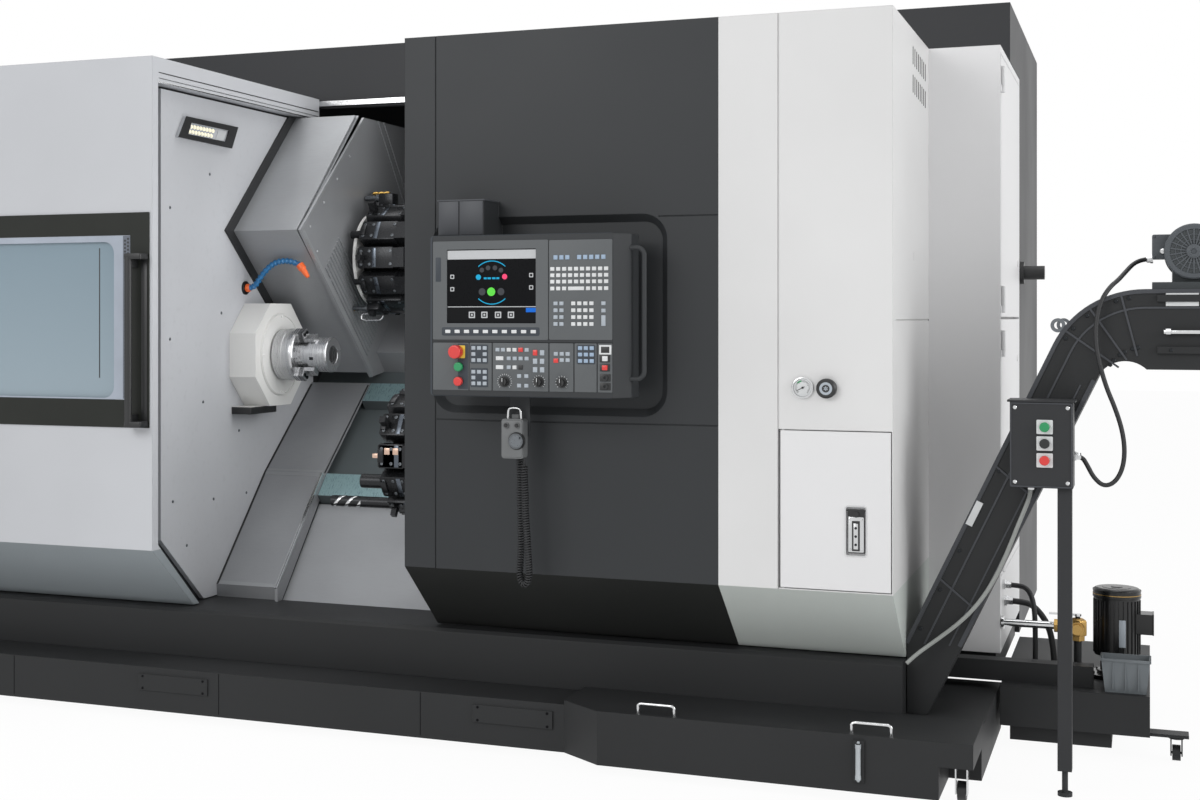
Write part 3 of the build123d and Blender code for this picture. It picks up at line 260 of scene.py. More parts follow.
# Lighter steel for the saddle plate's edges, and painted highlights on the way covers' folds and lips
EDGE_STEEL_AND_FOLD_HIGHLIGHT = metal("edge_steel_and_fold_highlight", tone(160, 162, 165), 0.4, (1, 6, 6), 40.0, 0.05, 0.08, 0.5)
WEDGE_STEEL = metal("wedge_steel", tone(92, 98, 106), 0.28, (1, 1, 1), 90.0, 0.05, 0.1)
BRACKET_COAT = powder_coat("bracket_coat", tone(74, 76, 80), 0.4, 0.05)
COPPER = metal("copper_insert", tone(206, 176, 158), 0.3, (1, 1, 1), 140.0, 0.05, 0.08)
# Near-black fill: painted shadow inside the column's vent slots, and also the real dark seams and screws of
# the chip tank
VENT_SHADOW_AND_SEAM_BLACK = moulded("vent_shadow_and_seam_black", tone(24, 24, 26), 0.8, 700.0, 0.05, 0.0, 0.04)
CONVEYOR_EDGE = powder_coat("conveyor_edge_coat", tone(70, 72, 76), 0.4, 0.06)
MOTOR_GREY = powder_coat("motor_enamel", tone(84, 88, 92), 0.38, 0.06)
GAUGE_PLASTIC = moulded("gauge_plastic", tone(176, 182, 186), 0.2, 500.0, 0.03, 0.2)
SCREW_STEEL = metal("screw_steel", tone(112, 116, 120), 0.3, (1, 1, 1), 120.0, 0.03, 0.08)
STRIP_GREY = moulded("strip_grey", tone(96, 102, 112), 0.45, 600.0, 0.04)
KEY_WHITE = moulded("white_key", tone(214, 216, 217), 0.5, 700.0, 0.06)
KEY_DIM = moulded("dim_key", tone(168, 176, 184), 0.5, 700.0, 0.06)
KEY_BLUE = moulded("blue_key", tone(150, 170, 192), 0.5, 700.0, 0.06)
PENDANT_GREY = moulded("pendant_moulding", tone(106, 108, 109), 0.5)
RED = moulded("red_cap", tone(214, 52, 48), 0.35, 600.0, 0.05, 0.3)
GREEN = moulded("green_cap", tone(24, 140, 84), 0.35, 600.0, 0.05, 0.3)
YELLOW = moulded("yellow_plate", tone(226, 190, 60), 0.45, 600.0, 0.05)
ORANGE = moulded("orange_nozzle", tone(232, 104, 48), 0.4, 600.0, 0.05)
HOSE_BLUE = moulded("blue_hose", tone(34, 108, 160), 0.35, 600.0, 0.05, 0.2)
BIN = moulded("bin_moulding", tone(106, 112, 116), 0.5)
RUBBER = moulded("cord_rubber", tone(30, 31, 33), 0.55, 700.0, 0.15)
CONDUIT = moulded("conduit_jacket", tone(150, 153, 150), 0.5, 300.0, 0.2)
# The paler colour at the pane's foot is a painted reflection
PANE = tinted_pane_painted_reflection("window_pane", tone(140, 156, 166), tone(118, 138, 150), 1.17, 1.77)
DISPLAY = moulded("display_glass", tone(10, 11, 14), 0.3, 300.0, 0.01, 0.0, 0.08)
LIT_WHITE = glow("lit_white", tone(186, 188, 190), 0.1)
LIT_GREY = glow("lit_grey", tone(66, 68, 72), 0.1)
LIT_DARK = glow("lit_dark", tone(14, 15, 17), 0.1)
LIT_CYAN = glow("lit_cyan", tone(30, 150, 190), 0.35)
LIT_BLUE = glow("lit_blue", tone(24, 96, 190), 0.35)
LIT_PINK = glow("lit_pink", tone(226, 70, 110), 0.35)
LIT_GREEN = glow("lit_green", tone(90, 200, 70), 0.35)
LAMP_LIGHT = glow("lamp_light", tone(246, 240, 216), 0.3)

carried = {
    CHARCOAL: ["left_cover", "rear_housing", "control_box"],
    CHARCOAL_LOW: ["front_cover"],
    SOOT: ["base_plinth", "chip_tank", "conveyor", "coolant_tank"],
    DOOR_COAT: ["door_panel"],
    COLUMN_COAT: ["column_cover"],
    WHITE: ["access_door", "cabinet_door_high", "cabinet_door_low", "rear_cabinet"],
    WALL: ["chamber_wall"],
    IVORY: ["headstock"],
    SLATE: ["upper_head", "lower_head", "lower_saddle", "conveyor_motor"],
    GLOSS_BLACK: ["coolant_pump"],
    PANEL_DARK: ["panel_housing"],
    PENDANT_GREY: ["pendant_body"],
    HOOD_STEEL: ["cover_stage", "upper_saddle"],
    WAY_SHEET: ["chamber_covers"],
    TURNED: ["chuck_body", "chuck_jaw_1", "chuck_jaw_2", "chuck_jaw_3", "workpiece"],
    BRIGHT: ["tank_caster_fork", "valve_lever"],
    SCREW_STEEL: ["pendant_dial"],
    TOOL_BLACK: ["upper_turret", "lower_turret"],
    BLACKED: ["leveling_feet"],
    BED_IRON: ["slant_bed"],
    BLACK: [
        "access_latch", "door_handle", "override_knob_1", "override_knob_2", "override_knob_3",
        "regulator_knob", "tank_caster_wheel", "conveyor_reverse", "mist_port",
    ],
    KEY_WHITE: ["panel_keys"],
    HOSE_BLUE: ["coolant_hose"],
    RED: ["e_stop", "stop_button", "conveyor_stop"],
    GREEN: ["start_button", "conveyor_forward"],
    BIN: ["parts_bin"],
    PANE: ["door_glass"],
    DISPLAY: ["panel_screen"],
}
for finish, names in carried.items():
    for name in names:
        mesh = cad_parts[name].data
        mesh.materials.clear()
        mesh.materials.append(finish)


# Shaping: edges flatter than the first angle look smooth, sharper than the second get a block's round
SMOOTH_BELOW = math.radians(35)
SHARP_ABOVE = math.radians(40)


def settle(form, name, finish, body="machine", covers=()):
    """A shaped form as a finished piece that moves with a body."""
    bmesh.ops.remove_doubles(form, verts=form.verts, dist=0.00002)
    bmesh.ops.recalc_face_normals(form, faces=form.faces)
    for face in form.faces:
        face.smooth = True
    for edge in form.edges:
        edge.smooth = len(edge.link_faces) == 2 and edge.calc_face_angle() < SMOOTH_BELOW
    mesh = bpy.data.meshes.new(name)
    form.to_mesh(mesh)
    form.free()
    mesh.materials.append(finish)
    piece = bpy.data.objects.new(name, mesh)
    bpy.context.collection.objects.link(piece)
    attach(piece, body)
    if covers:
        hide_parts(*covers)
    return piece


def round_off(form, verts, edges, radius, steps):
    """Round some edges of a block, and give all its corners as they are then."""
    made = bmesh.ops.bevel(form, geom=edges, offset=radius / 1000, offset_type="OFFSET", segments=steps,
                           profile=0.5, affect="EDGES", material=-1)
    return list({v for f in made["faces"] for v in f.verts} | {v for v in verts if v.is_valid})


def slab(form, x0, x1, y0, y1, z0, z1, edge=0.0, corner=None):
    """A block between stations. A corner is the axis of the edges with a larger round, and its radius."""
    low, high = spot(x0, y0, z0), spot(x1, y1, z1)
    verts = bmesh.ops.create_cube(form, size=1.0)["verts"]
    bmesh.ops.scale(form, vec=high - low, verts=verts)
    bmesh.ops.translate(form, vec=(low + high) / 2, verts=verts)
    if corner:
        axis, radius = "xyz".index(corner[0]), corner[1]
        edges = {e for v in verts for e in v.link_edges}
        rims = [e for e in edges if abs((e.verts[0].co - e.verts[1].co).normalized()[axis]) > 0.99]
        verts = round_off(form, verts, rims, radius, 6)
    if edge:
        sharp = {e for v in verts for e in v.link_edges if len(e.link_faces) == 2}
        sharp = [e for e in sharp if e.calc_face_angle() > SHARP_ABOVE]
        verts = round_off(form, verts, sharp, edge, 2)
    return verts


AXES = {
    "x": Vector((1, 0, 0)), "y": Vector((0, 1, 0)), "z": Vector((0, 0, 1)),
    "-x": Vector((-1, 0, 0)), "-y": Vector((0, -1, 0)), "-z": Vector((0, 0, -1)),
}


def turned(form, foot, axis, profile, steps=24):
    """A turned form: its profile gives distance along the axis and radius, in millimetres."""
    way = AXES[axis] if isinstance(axis, str) else Vector(axis).normalized()
    side = way.orthogonal().normalized()
    centre = spot(*foot)
    points = [centre + way * (h / 1000) + side * (r / 1000) for h, r in profile]
    verts = [form.verts.new(p) for p in points]
    lines = [form.edges.new(pair) for pair in zip(verts, verts[1:])]
    if profile[0][1] > 0 and profile[-1][1] > 0:
        lines.append(form.edges.new((verts[-1], verts[0])))
    bmesh.ops.spin(form, geom=verts + lines, cent=centre, axis=way, angle=2 * math.pi, steps=steps,
                   use_merge=True)


def disc(radius, low, high):
    """The profile of a plain disc."""
    return [(low, 0), (low, radius), (high, radius), (high, 0)]


def ring(inner, outer, low, high):
    """The profile of a plain ring."""
    return [(low, inner), (low, outer), (high, outer), (high, inner)]


def head(radius, crown, low, side, high):
    """The profile of a screw's head: straight to the side's height, then drawn in to the crown."""
    return [(low, radius), (side, radius), (high, crown), (high, 0)]


def swing(form, verts, station, axis, angle):
    """Turn corners about an axis of the machine through a station."""
    bmesh.ops.rotate(form, verts=verts, cent=spot(*station), matrix=Matrix.Rotation(angle, 3, axis))


def round_loop(form, x, z, half_x, half_z, y, radius, steps=5):
    """A rounded rectangle's edges in an upright plane."""
    corners = [(x - half_x, z - half_z), (x + half_x, z - half_z), (x + half_x, z + half_z),
               (x - half_x, z + half_z)]
    verts = [form.verts.new(spot(a, y, b)) for a, b in corners]
    edges = [form.edges.new((verts[i], verts[(i + 1) % 4])) for i in range(4)]
    if not radius:
        return edges
    made = bmesh.ops.bevel(form, geom=verts, offset=radius / 1000, offset_type="OFFSET", segments=steps,
                           profile=0.5, affect="VERTICES", material=-1)
    keep = {v for v in made["verts"]}
    return [e for e in form.edges if e.is_wire and all(v in keep for v in e.verts)]


def frame_plate(form, outer, inner, y0, y1, radius=6.0, inner_radius=3.0):
    """A flat frame between an outer and an inner outline, each given as x0, x1, z0, z1."""
    loops = []
    for (x0, x1, z0, z1), rounding in ((outer, radius), (inner, inner_radius)):
        loops += round_loop(form, (x0 + x1) / 2, (z0 + z1) / 2, (x1 - x0) / 2, (z1 - z0) / 2, y1, rounding)
    band = bmesh.ops.bridge_loops(form, edges=loops)["faces"]
    pushed = bmesh.ops.extrude_face_region(form, geom=band)["geom"]
    moved = [v for v in pushed if isinstance(v, bmesh.types.BMVert)]
    bmesh.ops.translate(form, vec=(0, (y0 - y1) / 1000, 0), verts=moved)


def outline_form(form, points, vec):
    """A flat outline of station points pushed along a direction in millimetres."""
    face = form.faces.new([form.verts.new(spot(*p)) for p in points])
    pushed = bmesh.ops.extrude_face_region(form, geom=[face])["geom"]
    moved = [v for v in pushed if isinstance(v, bmesh.types.BMVert)]
    bmesh.ops.translate(form, vec=Vector(vec) / 1000, verts=moved)
    return moved


def arc_band(form, x, z, inner, outer, y0, y1, start, sweep, steps=16):
    """Part of a flat ring in an upright plane, from a start angle in degrees."""
    centre = spot(x, (y0 + y1) / 2, z)
    way = Vector((math.cos(math.radians(start)), 0, math.sin(math.radians(start))))
    half = Vector((0, (y1 - y0) / 2000, 0))
    corners = [way * inner / 1000 - half, way * outer / 1000 - half, way * outer / 1000 + half,
               way * inner / 1000 + half]
    face = form.faces.new([form.verts.new(centre + c) for c in corners])
    copy = bmesh.ops.duplicate(form, geom=[face] + list(face.verts) + list(face.edges))["geom"]
    bmesh.ops.spin(form, geom=copy, cent=centre, axis=(0, -1, 0), angle=math.radians(sweep), steps=steps)


def make(name, finish, body, *parts, covers=()):
    """A piece from its parts, each a shaping function followed by what it takes."""
    form = bmesh.new()
    for shape, *values in parts:
        shape(form, *values)
    return settle(form, name, finish, body, covers)


# Bars, pipes and cords


def smooth_line(curve, places, cuts):
    """One smooth line along places in metres."""
    line = curve.splines.new("NURBS")
    line.points.add(len(places) - 1)
    for point, place in zip(line.points, places):
        point.co = (*place, 1.0)
    line.order_u = 3
    line.use_endpoint_u = True
    line.resolution_u = cuts


def smooth_bar(name, places, radius, finish, body, sides, cuts):
    """A round bar on one smooth line."""
    curve = bpy.data.curves.new(name, "CURVE")
    curve.dimensions = "3D"
    curve.bevel_depth = radius
    curve.bevel_resolution = sides
    curve.use_fill_caps = True
    smooth_line(curve, places, cuts)
    piece = bpy.data.objects.new(name, curve)
    bpy.context.collection.objects.link(piece)
    curve.materials.append(finish)
    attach(piece, body)
    return piece


def bent_rod(name, stations, radius, finish, body):
    """A rigid bent bar or pipe with rounded corners."""
    smooth_bar(name, [spot(*s) for s in stations], radius / 1000, finish, body, 4, 10)


def cord_line(name, stations, radius, finish, body, cad_node, **facts):
    """A free cord on one smooth line through its stations."""
    piece = smooth_bar(name, [spot(*s) for s in stations], radius / 1000, finish, body, 4, 12)
    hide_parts(cad_node)


cord_line(
    "motor_cable_line",
    [
        (748, 460, 1668), (722, 460, 1668), (692, 436, 1655), (668, 385, 1626), (648, 335, 1600),
        (624, 292, 1578), (598, 268, 1535), (584, 258, 1470), (583, 250, 1400), (596, 246, 1330),
        (614, 245, 1265), (640, 245, 1200), (660, 245, 1135), (668, 245, 1070), (661, 245, 1012),
        (638, 245, 970), (606, 244, 958), (577, 242, 985), (559, 239, 1022), (543, 238, 1050),
        (520, 238, 1050),
    ],
    7, RUBBER, "machine", "motor_cable",
    length=1.044, far_end="object", stiffness="medium", lay="hanging",
)
cord_line(
    "conduit_line",
    [
        (390, 262, 955), (390, 262, 925), (374, 262, 880), (352, 264, 825), (330, 266, 765),
        (306, 268, 705), (278, 268, 645), (246, 268, 590), (208, 268, 540), (166, 268, 497),
        (122, 264, 460), (78, 254, 425), (40, 238, 396), (12, 222, 368),
    ],
    6.5, CONDUIT, "machine", "conduit",
    length=0.725, far_end="object", stiffness="medium", lay="loose",
)


def coil_points(stations, coil_radius, pitch, straight, per_turn=12):
    """A curly cord's line: turns about the route's own smooth line, with a straight tail at each end."""
    guide = bpy.data.curves.new("coil_guide", "CURVE")
    guide.dimensions = "3D"
    smooth_line(guide, [spot(*s) for s in stations], 12)
    carrier = bpy.data.objects.new("coil_guide", guide)
    bpy.context.collection.objects.link(carrier)
    mesh = bpy.data.meshes.new_from_object(carrier)
    places = [v.co.copy() for v in mesh.vertices]
    bpy.data.objects.remove(carrier)
    bpy.data.meshes.remove(mesh)
    steps = [0.0]
    for a, b in zip(places, places[1:]):
        steps.append(steps[-1] + (b - a).length)
    total = steps[-1]
    turns = round((total - 2 * straight) / pitch)
    count = turns * per_turn
    side = Vector((0, 1, 0))
    line = [places[0]]
    seek = 0
    for i in range(count + 1):
        s = straight + (total - 2 * straight) * i / count
        while seek < len(places) - 2 and steps[seek + 1] < s:
            seek += 1
        share = (s - steps[seek]) / (steps[seek + 1] - steps[seek])
        way = (places[seek + 1] - places[seek]).normalized()
        side = (side - way * side.dot(way)).normalized()
        across = way.cross(side)
        angle = 2 * math.pi * i / per_turn
        ease = min(1.0, i / per_turn, (count - i) / per_turn)
        out = side * math.cos(angle) + across * math.sin(angle)
        line.append(places[seek].lerp(places[seek + 1], share) + out * coil_radius * ease)
    return line + [places[-1]]


pendant_route = [
    (-1169, -130, 1019), (-1169, -130, 960), (-1166, -128, 900), (-1167, -125, 840),
    (-1163, -122, 780), (-1161, -118, 720), (-1159, -113, 665), (-1160, -109, 628),
    (-1169, -105, 602), (-1187, -100, 600), (-1198, -96, 626), (-1198, -91, 665),
    (-1196, -86, 720), (-1199, -83, 780), (-1200, -81, 840), (-1203, -79, 900),
    (-1203, -77, 960), (-1206, -77, 1020), (-1206, -79, 1080), (-1209, -80, 1140),
    (-1209, -82, 1185), (-1209, -82, 1225),
]
coil = coil_points(pendant_route, 0.0095, 0.0085, 0.02)
pendant_coil = smooth_bar("pendant_coil", coil, 0.0031, RUBBER, "operator_panel", 1, 2)
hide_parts("pendant_cord")

# Operator panel: bezels, screen picture, keys, buttons and dials

FACE = -200.0
PANEL = "operator_panel"

make("panel_upper_bezels", PANEL_GREY, PANEL,
     (frame_plate, (-1465, -1061, 1409, 1733), (-1415, -1103, 1463, 1705), FACE - 2, FACE, 5, 2),
     (slab, -1058, -845, FACE - 2, FACE, 1410, 1731, 0.6, ("y", 5)))

form = bmesh.new()
for x0, x1 in ((-1334, -1256), (-1252, -1060), (-1056, -975), (-971, -897), (-893, -845)):
    slab(form, x0, x1, FACE - 2, FACE, 1243, 1399, 0.6, ("y", 3))
slab(form, -1465, -1338, FACE - 0.8, FACE, 1243, 1399, 0.3, ("y", 3))
settle(form, "panel_lower_bezels", PANEL_GREY, PANEL)

form = bmesh.new()
slab(form, -1433, -1090, FACE - 2.5, FACE - 1, 1422, 1450, 0.5, ("y", 6))
for x, z in ((-1300, 1362), (-1300, 1285), (-932.5, 1363.5)):
    slab(form, x - 31, x + 31, FACE - 3, FACE - 1, z - 31, z + 31, 0.5, ("y", 4))
slab(form, -1376, -1340, FACE - 0.95, FACE - 0.4, 1246, 1396, 0.2, ("y", 3))
slab(form, -1455, -1436, FACE - 2.5, FACE - 1, 1600, 1680, 0.4, ("y", 3))
settle(form, "panel_insets", PANEL_INSET_AND_RIM_HIGHLIGHT, PANEL)

# A lighter rim runs round the casing: an edge trim, painted lighter than the casing as a highlight along
# its edges
make("panel_rim_highlight", PANEL_INSET_AND_RIM_HIGHLIGHT, PANEL,
     (frame_plate, (-1476.5, -842, 1223, 1752), (-1470, -845, 1228, 1746), -196, -190, 12, 8))

KEY_FRONT = FACE - 4.5


def keys(name, finish, places, wide=14.0, high=12.0):
    """Low domed keys centred at the places."""
    cluster = bmesh.new()
    for x, z in places:
        slab(cluster, x - wide / 2, x + wide / 2, KEY_FRONT, FACE - 1, z - high / 2, z + high / 2, 1.2)
    return settle(cluster, name, finish, PANEL)


def field(x, z, columns, rows, pitch_x, pitch_z, open_middle=False):
    """Places in rows from the upper left one."""
    return [
        (x + pitch_x * c, z - pitch_z * r)
        for r in range(rows) for c in range(columns)
        if not (open_middle and r == 1 and c == 1)
    ]


letter_keys = keys("letter_keys", KEY_WHITE,
                   field(-1046, 1638, 10, 3, 20.1, 20.5) + field(-1046, 1575, 3, 1, 20.1, 1)
                   + field(-925.4, 1575, 4, 1, 20.1, 1) + field(-975, 1527, 4, 4, 20.3, 22)
                   + [(-1196, 1377), (-1176, 1377), (-1176, 1320)])
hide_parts("panel_keys")
keys("wide_key", KEY_WHITE, [(-965.5, 1575)], 54)
keys("soft_keys", KEY_WHITE, field(-1411, 1436, 10, 1, 33.3, 1), 18, 11)
keys("mode_keys", KEY_WHITE, [(-1228, 1349), (-1228, 1320)], 26, 13)
keys("function_keys", KEY_BLUE, field(-1035, 1675, 3, 1, 20, 1) + field(-955, 1675, 5, 1, 20.2, 1), 14, 14)
keys("dim_keys", KEY_DIM, field(-1035, 1527, 2, 4, 20, 22) + field(-874, 1527, 1, 2, 1, 23)
     + field(-1196, 1349, 4, 1, 20.6, 1)
     + [(-1235, 1377), (-1216, 1377), (-1134, 1377), (-1196, 1320), (-1034, 1365), (-1014, 1365),
        (-994, 1365), (-1014, 1345), (-994, 1345)] + field(-1160, 1292, 2, 2, 25, 31))
keys("tall_key", KEY_DIM, [(-874, 1472)], 14, 34)
keys(
    "axis_keys", KEY_DIM,
    field(-1320, 1382, 3, 3, 20, 20, True) + field(-1320, 1304, 3, 3, 20, 19, True),
)
keys("jog_keys", KEY_BLUE, field(-952, 1384, 3, 3, 19.5, 20.5))
keys("hold_keys", RED, [(-1155, 1377), (-1034, 1343)], 16, 14)
keys("coolant_keys", KEY_DIM, [(-1081, 1368), (-1105, 1340.5), (-1081, 1340.5), (-1105, 1313),
                               (-1081, 1313)], 15, 17)
keys("alarm_key", RED, [(-1105, 1368)], 15, 18)
keys("lock_keys", BLACK, [(-1155, 1320)], 15, 15)

make("port_frame", KEY_WHITE, PANEL,
     (slab, -888, -848, FACE - 4, FACE - 1, 1364, 1394, 0.8, ("y", 2)),
     (slab, -878, -860, FACE - 5, FACE - 1, 1343, 1359, 0.8))
form = bmesh.new()
slab(form, -882, -854, FACE - 4.6, FACE - 3, 1369, 1389, 0.6)
for z in (1351, 1322):
    slab(form, -886, -852, FACE - 3.5, FACE - 1, z - 12, z + 12, 0.5, ("y", 2))
for z in (1290, 1262):
    slab(form, -886, -850, FACE - 3.5, FACE - 1, z - 12, z + 12, 0.5, ("y", 2))
    turned(form, (-867, FACE - 9, z), "y", [(0, 5), (0, 9), (6, 9.5), (6.5, 8), (2, 5)], 20)
settle(form, "port_plates", BLACK, PANEL)
make("key_switch", RED, PANEL,
     (slab, -878, -860, FACE - 7, FACE - 3, 1314, 1330, 1.2))

make("stop_plate", YELLOW, PANEL,
     (slab, -1392, -1350, FACE - 2.8, FACE - 1, 1348, 1390, 0.5, ("y", 3)))

# Tick marks of the three override dials
form = bmesh.new()
for x, z, reach, count in ((-1211, 1273, 26, 17), (-1092, 1274, 22, 13), (-1014, 1273, 22, 11)):
    for step in range(count):
        angle = math.radians(-135 + 270 * step / (count - 1))
        verts = slab(form, x - 0.7, x + 0.7, FACE - 2.6, FACE - 1.8, z + reach - 4, z + reach, 0.0)
        swing(form, verts, (x, FACE, z), "Y", angle)
settle(form, "dial_ticks", KEY_WHITE, PANEL)
for number, (x, z) in enumerate(((-1211, 1273), (-1092, 1274), (-1014, 1273))):
    form = bmesh.new()
    slab(form, x - 1.0, x + 1.0, FACE - 26.5, FACE - 25.5, z, z + 12.5, 0.2)
    settle(form, f"dial_pointer_{number + 1}", KEY_WHITE, f"knob_{number + 1}")

# Screen picture, flush in its opening
GLASS = FACE + 1.4
make("title_bar", LIT_WHITE, PANEL,
     (slab, -1414, -1104, GLASS, GLASS + 0.6, 1673, 1702),
     (slab, -1414, -1104, GLASS, GLASS + 0.6, 1515.5, 1518))
form = bmesh.new()
for x, z in ((-1292, 1637), (-1270, 1644), (-1246, 1644), (-1225, 1636), (-1291, 1566), (-1225, 1566)):
    size = 12 if z == 1566 else 8
    turned(form, (x, GLASS - 0.4, z), "y", disc(size, 0, 1), 18)
settle(form, "picture_greys", LIT_GREY, PANEL)
make("picture_bar", LIT_DARK, PANEL,
     (slab, -1414, -1104, GLASS + 0.2, GLASS + 0.6, 1467, 1514))
form = bmesh.new()
arc_band(form, -1257, 1596, 69, 72, GLASS - 0.2, GLASS + 0.5, 48, 84, 24)
arc_band(form, -1257, 1596, 69, 72, GLASS - 0.2, GLASS + 0.5, 228, 84, 24)
turned(form, (-1304, GLASS - 0.4, 1614), "y", disc(9, 0, 1), 18)
for x, wide in ((-1280, 10), (-1266, 12), (-1250, 12), (-1236, 10)):
    slab(form, x - wide / 2, x + wide / 2, GLASS - 0.2, GLASS + 0.5, 1607, 1613)
settle(form, "picture_ring", LIT_CYAN, PANEL)
make("picture_pink", LIT_PINK, PANEL,
     (turned, (-1212, GLASS - 0.4, 1615), "y", disc(9, 0, 1), 18))
make("picture_green", LIT_GREEN, PANEL,
     (turned, (-1259, GLASS - 0.4, 1566), "y", disc(14, 0, 1), 24))
make("picture_tab", LIT_BLUE, PANEL,
     (slab, -1138, -1104, GLASS - 0.4, GLASS + 0.6, 1499, 1513))
form = bmesh.new()
for x in (-1327, -1283, -1235, -1190):
    frame_plate(form, (x - 11, x + 11, 1480, 1501), (x - 7, x + 7, 1484, 1497), GLASS - 0.4, GLASS + 0.3, 2,
                1)
    slab(form, x - 3, x + 3, GLASS - 0.4, GLASS + 0.3, 1487, 1494)
for x, z in ((-1397, 1616), (-1397, 1575), (-1120, 1619), (-1120, 1579)):
    frame_plate(form, (x - 7, x + 7, z - 7, z + 7), (x - 4, x + 4, z - 4, z + 4), GLASS - 0.4, GLASS + 0.3,
                2, 1)
settle(form, "picture_icons", LIT_WHITE, PANEL)

# Hand pendant: hanger, toggles and dial scale. The pulse dial's middle:
DIAL_X, DIAL_Z = -1187, 1077
make("pendant_face", PENDANT_GREY, PANEL,
     (slab, -1238, -1168, -156, -151.5, 1024, 1144, 1.0, ("y", 8)))
bent_rod("pendant_hanger", [(-1226, -131, 1140), (-1226, -131, 1172), (-1220, -131, 1184),
                            (-1186, -131, 1184), (-1180, -131, 1172),
                            (-1180, -131, 1140)], 4, BRIGHT, PANEL)
form = bmesh.new()
for x in (-1222, -1184):
    turned(form, (x, -168, 1128), "y", [(0, 0), (0, 5), (2, 6.5), (8, 6.5), (12, 9.5), (16, 9.5), (16, 0)],
           20)
turned(form, (DIAL_X, -158, DIAL_Z), "y", [(0, 26), (0, 28), (3, 30), (6, 30), (6, 26)], 40)
settle(form, "pendant_caps", BLACK, PANEL)
form = bmesh.new()
for step in range(40):
    angle = math.radians(9 * step)
    reach = 24.2 if step % 10 else 24.8
    verts = slab(form, -1187.4, -1186.6, -164.5, -163.8, DIAL_Z + 19.5, DIAL_Z + reach)
    swing(form, verts, (DIAL_X, -160, DIAL_Z), "Y", angle)
settle(form, "pulse_scale", BLACK, "pulse_dial")

# Sliding door: black band, pale inner frame, perforated strip and grip ends
DOOR = "front_door"
make("window_band", BLACK_BAND, DOOR,
     (frame_plate, (-3797, -2691, 1073, 1872), (-3685, -2774, 1176, 1788), -5, -2.5, 4, 3))
make("window_inner_frame", FRAME_BLUE, DOOR,
     (frame_plate, (-3684, -2775, 1177, 1787), (-3636, -2846, 1182, 1764), -4.2, -2.5, 3, 42))
form = bmesh.new()
slab(form, -2921, -2917, 9, 10.5, 1256, 1742, 0.4)
slab(form, -3567, -3563, 9, 10.5, 1256, 1742, 0.4)
for row in range(44):
    for column in range(2):
        place = (-2797 + column * 13, -5.3, 1187 + row * 13.5 + column * 6.7)
        turned(form, place, "y", disc(4.4, 0, 0.7), 8)
settle(form, "perforated_strip", BLACK, DOOR)
make("perforated_back", STRIP_GREY, DOOR,
     (slab, -2806, -2775.5, -4.8, -4, 1180, 1786))
form = bmesh.new()
for z in (1696, 1077):
    slab(form, -2768, -2695, -62, -4, z, z + 22, 2.0, ("z", 8))
slab(form, -2724, -2700, -8, -4, 1099, 1696, 1.0)
settle(form, "grip_ends", BLACK, DOOR)
make("beam_grooves", BLACK, DOOR,
     (slab, -2683, -2681, 44, 1330, 2392, 2395.5),
     (slab, -2683, -2681, 44, 1330, 2372, 2374))
make("beam_trims", BRIGHT, DOOR,
     (slab, -2730, -2683, 1330, 1339.5, 2362, 2406, 1.0),
     (slab, -2684, -2680.5, 40, 1300, 2356.5, 2362, 0.8))
make("roof_rail", BRIGHT, "machine",
     (slab, -4148, -556, 1340.12, 1341, 2419, 2441, 0.0))

# Chamber: lamp, seal, headstock fittings, hose. The wall's face and the spindle's axis:
WALL_X = -2720
SPINDLE_Y, SPINDLE_Z = 834, 1330
form = bmesh.new()
outer = [(216, 2171), (272, 2257), (664, 2256), (614, 2165)]
inner = [(282, 2189), (306, 2236), (590, 2235), (562, 2187)]
edges = []
for points in (outer, inner):
    verts = [form.verts.new(spot(-2705.5, y, z)) for y, z in points]
    edges += [form.edges.new((verts[i], verts[(i + 1) % 4])) for i in range(4)]
band = bmesh.ops.bridge_loops(form, edges=edges)["faces"]
pushed = bmesh.ops.extrude_face_region(form, geom=band)["geom"]
bmesh.ops.translate(form, vec=(0.004, 0, 0), verts=[v for v in pushed if isinstance(v, bmesh.types.BMVert)])
settle(form, "lamp_frame", BLACK)
form = bmesh.new()
for row in range(2):
    for column in range(8):
        y = 316 + column * 23 - row * 13
        z = 2222 - row * 21
        turned(form, (-2711, y, z), "x", [(0, 0), (0, 8.5), (4, 8.5), (6, 6), (6, 0)], 12)
settle(form, "lamp_lenses", LAMP_LIGHT)
make("lamp_board", FRAME_BLUE, "machine",
     (outline_form, [(-2712.5, 284, 2190), (-2712.5, 308, 2235), (-2712.5, 496, 2234),
                     (-2712.5, 472, 2189)], (1.5, 0, 0)))
make("lamp_blank", LIT_WHITE, "machine",
     (outline_form, [(-2712, 500, 2190), (-2712, 520, 2232), (-2712, 586, 2232), (-2712, 560, 2190)],
      (3, 0, 0)))

HOOD_EDGE = [(1177, 2350), (644, 1833), (981, 1542), (1290, 1243)]
HOOD_SEAL = [(WALL_X, y - 62, z) for y, z in HOOD_EDGE]
HOOD_SEAL += [(WALL_X, y - 1, z) for y, z in reversed(HOOD_EDGE)]
make("hood_seal", RUBBER, "machine",
     (outline_form, HOOD_SEAL, (9, 0, 0)))

